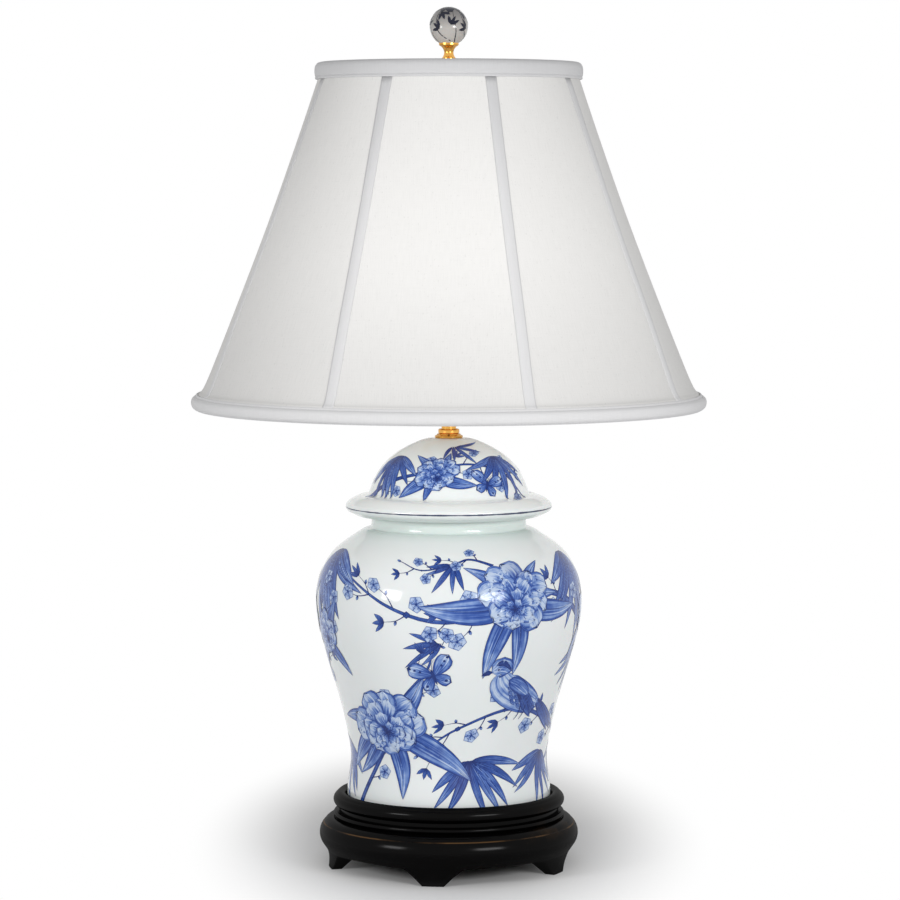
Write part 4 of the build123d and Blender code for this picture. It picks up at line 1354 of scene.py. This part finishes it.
@dataclass
class Studio:
    """White floor and surround, two soft boxes and the camera."""

    camera_place: tuple[float, float, float] = (1.0 * MM, -3038.9 * MM, 591.2 * MM)
    camera_dip: float = 4.444
    focal_pixels: float = 3590.0
    frame_pixels: float = 900.0
    sensor: float = 36.0
    floor_size: float = 12.0
    surround: float = 0.35
    shadow_reach: tuple[float, float] = (0.235, 0.55)
    shadow_centre: float = 0.14
    shadow_core: float = 0.35
    floor_grey: float = 0.80
    floor_roughness: float = 0.9
    softboxes: tuple[Softbox, ...] = (
        Softbox("softbox_left", -50, 1.6, (0.5, 0.36), 9.2),
        Softbox("softbox_right", 36, 1.7, (0.7, 0.36), 13.8),
    )

    def seen(self, canvas: Canvas) -> bpy.types.NodeSocket:
        """Adds a mask of the rays that see white: from the camera, mirrored and through glass."""
        path = canvas.add("LightPath")
        mirrored = canvas.math(
            "MAXIMUM", path.outputs["Is Glossy Ray"], path.outputs["Is Transmission Ray"]
        )
        return canvas.math("MAXIMUM", path.outputs["Is Camera Ray"], mirrored)

    def floor(self) -> None:
        """Lays the floor, which fades to white away from the lamp and keeps its shadow."""
        bm = bmesh.new()
        bmesh.ops.create_grid(bm, x_segments=1, y_segments=1, size=self.floor_size)
        mesh = bpy.data.meshes.new("floor")
        bm.to_mesh(mesh)
        bm.free()
        floor = bpy.data.objects.new("floor", mesh)
        bpy.context.scene.collection.objects.link(floor)
        material = bpy.data.materials.new("floor")
        material.use_nodes = True
        canvas = Canvas(material.node_tree)
        shader = material.node_tree.nodes["Principled BSDF"]
        shader.inputs["Roughness"].default_value = self.floor_roughness
        shader.inputs["Specular IOR Level"].default_value = 0.0
        shader.inputs["Base Color"].default_value = (*[self.floor_grey] * 3, 1.0)
        place = canvas.add("TexCoord").outputs["Object"]
        wide, deep = self.shadow_reach
        spread = canvas.add("Mapping", {
            "Vector": place, "Location": (0, -self.shadow_centre / deep, 0),
            "Scale": (1 / wide, 1 / deep, 1),
        }).outputs[0]
        away = canvas.add("VectorMath", {0: spread}, operation="LENGTH").outputs["Value"]
        far = canvas.band(away, self.shadow_core, 1.0)
        white = canvas.add("Emission", {"Color": (1, 1, 1, 1), "Strength": 1.0})
        blend = canvas.add("MixShader", {
            0: canvas.product(far, self.seen(canvas)),
            1: shader.outputs[0], 2: white.outputs[0],
        })
        output = material.node_tree.nodes["Material Output"]
        canvas.tree.links.new(blend.outputs[0], output.inputs["Surface"])
        mesh.materials.append(material)

    def world(self) -> None:
        """Makes the surround: white where it is seen, plain grey where it lights."""
        world = bpy.data.worlds.new("studio")
        bpy.context.scene.world = world
        world.use_nodes = True
        canvas = Canvas(world.node_tree)
        background = world.node_tree.nodes["Background"]
        strength = canvas.math(
            "MULTIPLY_ADD", self.seen(canvas), 1.0 - self.surround, self.surround
        )
        background.inputs["Color"].default_value = (1, 1, 1, 1)
        canvas.tree.links.new(strength, background.inputs["Strength"])

    def camera(self) -> None:
        """Sets the camera as the photograph was taken."""
        data = bpy.data.cameras.new("camera")
        data.sensor_width = self.sensor
        data.lens = self.sensor * self.focal_pixels / self.frame_pixels
        camera = bpy.data.objects.new("camera", data)
        camera.location = self.camera_place
        camera.rotation_euler = (math.radians(90 - self.camera_dip), 0, 0)
        bpy.context.scene.collection.objects.link(camera)
        bpy.context.scene.camera = camera

    def build(self) -> None:
        """Builds the whole studio."""
        self.camera()
        self.floor()
        self.world()
        for softbox in self.softboxes:
            softbox.build()
        bpy.context.scene.view_settings.view_transform = "Standard"


def main() -> None:
    """Builds the studio and dresses every sub-assembly, reporting each."""
    logging.basicConfig(level=logging.INFO, format="%(message)s")
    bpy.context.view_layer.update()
    effects = Effects()
    brass = Metal(effects, "polished_brass", (0.77, 0.41, 0.095), (0.50, 0.23, 0.045), 0.22).make()
    steel = Metal(effects, "plated_steel", (0.62, 0.62, 0.64), (0.42, 0.42, 0.43), 0.3).make()
    blue = Underglaze(effects).make()
    parts = {
        "studio": Studio(),
        "stand": Stand(Lacquer(effects).make()),
        "jar": Jar(
            # The jar's painted shade darkens its neck and the top of its shoulder under the lid's
            # brim.
            Porcelain(effects).make(),
            # The lid's painted shade darkens the lower part and underside of its brim.
            Porcelain(effects, name="lid_porcelain", painted_shade_low=0.312, painted_shade_high=0.300,
                      line_level=0.3074).make(),
            blue,
        ),
        "fittings": Fittings(
            brass=brass,
            steel=steel,
            thread=Metal(effects, "bulb_base_metal", (0.78, 0.78, 0.79), (0.6, 0.6, 0.6), 0.22,
                         ridges=3.6 * MM).make(),
            phenolic=Moulded(effects, "phenolic", (0.04, 0.03, 0.026), 0.45).make(),
            fibre=Moulded(effects, "paperboard", (0.19, 0.16, 0.13), 0.8, 0.4).make(),
            knob=Moulded(effects, "knob_plastic", (0.02, 0.02, 0.022), 0.3).make(),
            ivory=Moulded(effects, "bushing_plastic", (0.72, 0.69, 0.62), 0.4).make(),
            vitrite=Moulded(effects, "base_insulator", (0.02, 0.02, 0.024), 0.2).make(),
            bulb=Bulb().make(),
            stem=ClearGlass().make(),
            filament=Metal(effects, "filament", (0.5, 0.46, 0.42), (0.4, 0.34, 0.3), 0.4).make(),
        ),
        "shade": Shade(
            linen=Fabric(effects, "linen", (0.61, 0.605, 0.597), (0.53, 0.526, 0.518)).make(),
            lining=Fabric(effects, "lining", (0.86, 0.855, 0.84), (0.78, 0.775, 0.76),
                          slubs=0.2, glow_strength=0.3).make(),
            tape=Fabric(effects, "tape", (0.62, 0.62, 0.63), (0.57, 0.57, 0.58),
                        threads=1600.0, slubs=0.15, glow_strength=0.17,
                        glow_ends=(0.8, 0.1)).make(),
            enamel=Moulded(effects, "frame_wire", (0.8, 0.8, 0.79), 0.3).make(),
        ),
        "finial": Finial(
            # The ball's pooled tint is a dark grey painted shade over its top.
            Porcelain(effects, name="ball_glaze", white=(0.54, 0.52, 0.50),
                      pooled=(0.26, 0.25, 0.245), painted_shade_low=0.706, painted_shade_high=0.726).make(),
            brass,
            Underglaze(effects, name="ball_ink", wash=(0.30, 0.31, 0.36), light=(0.12, 0.12, 0.14),
                       middle=(0.022, 0.027, 0.06), deep=(0.006, 0.008, 0.022)).make(),
            steel,
        ),
    }
    for name, part in parts.items():
        part.build()
        LOG.info("built the %s", name)


if __name__ == "__main__":
    main()
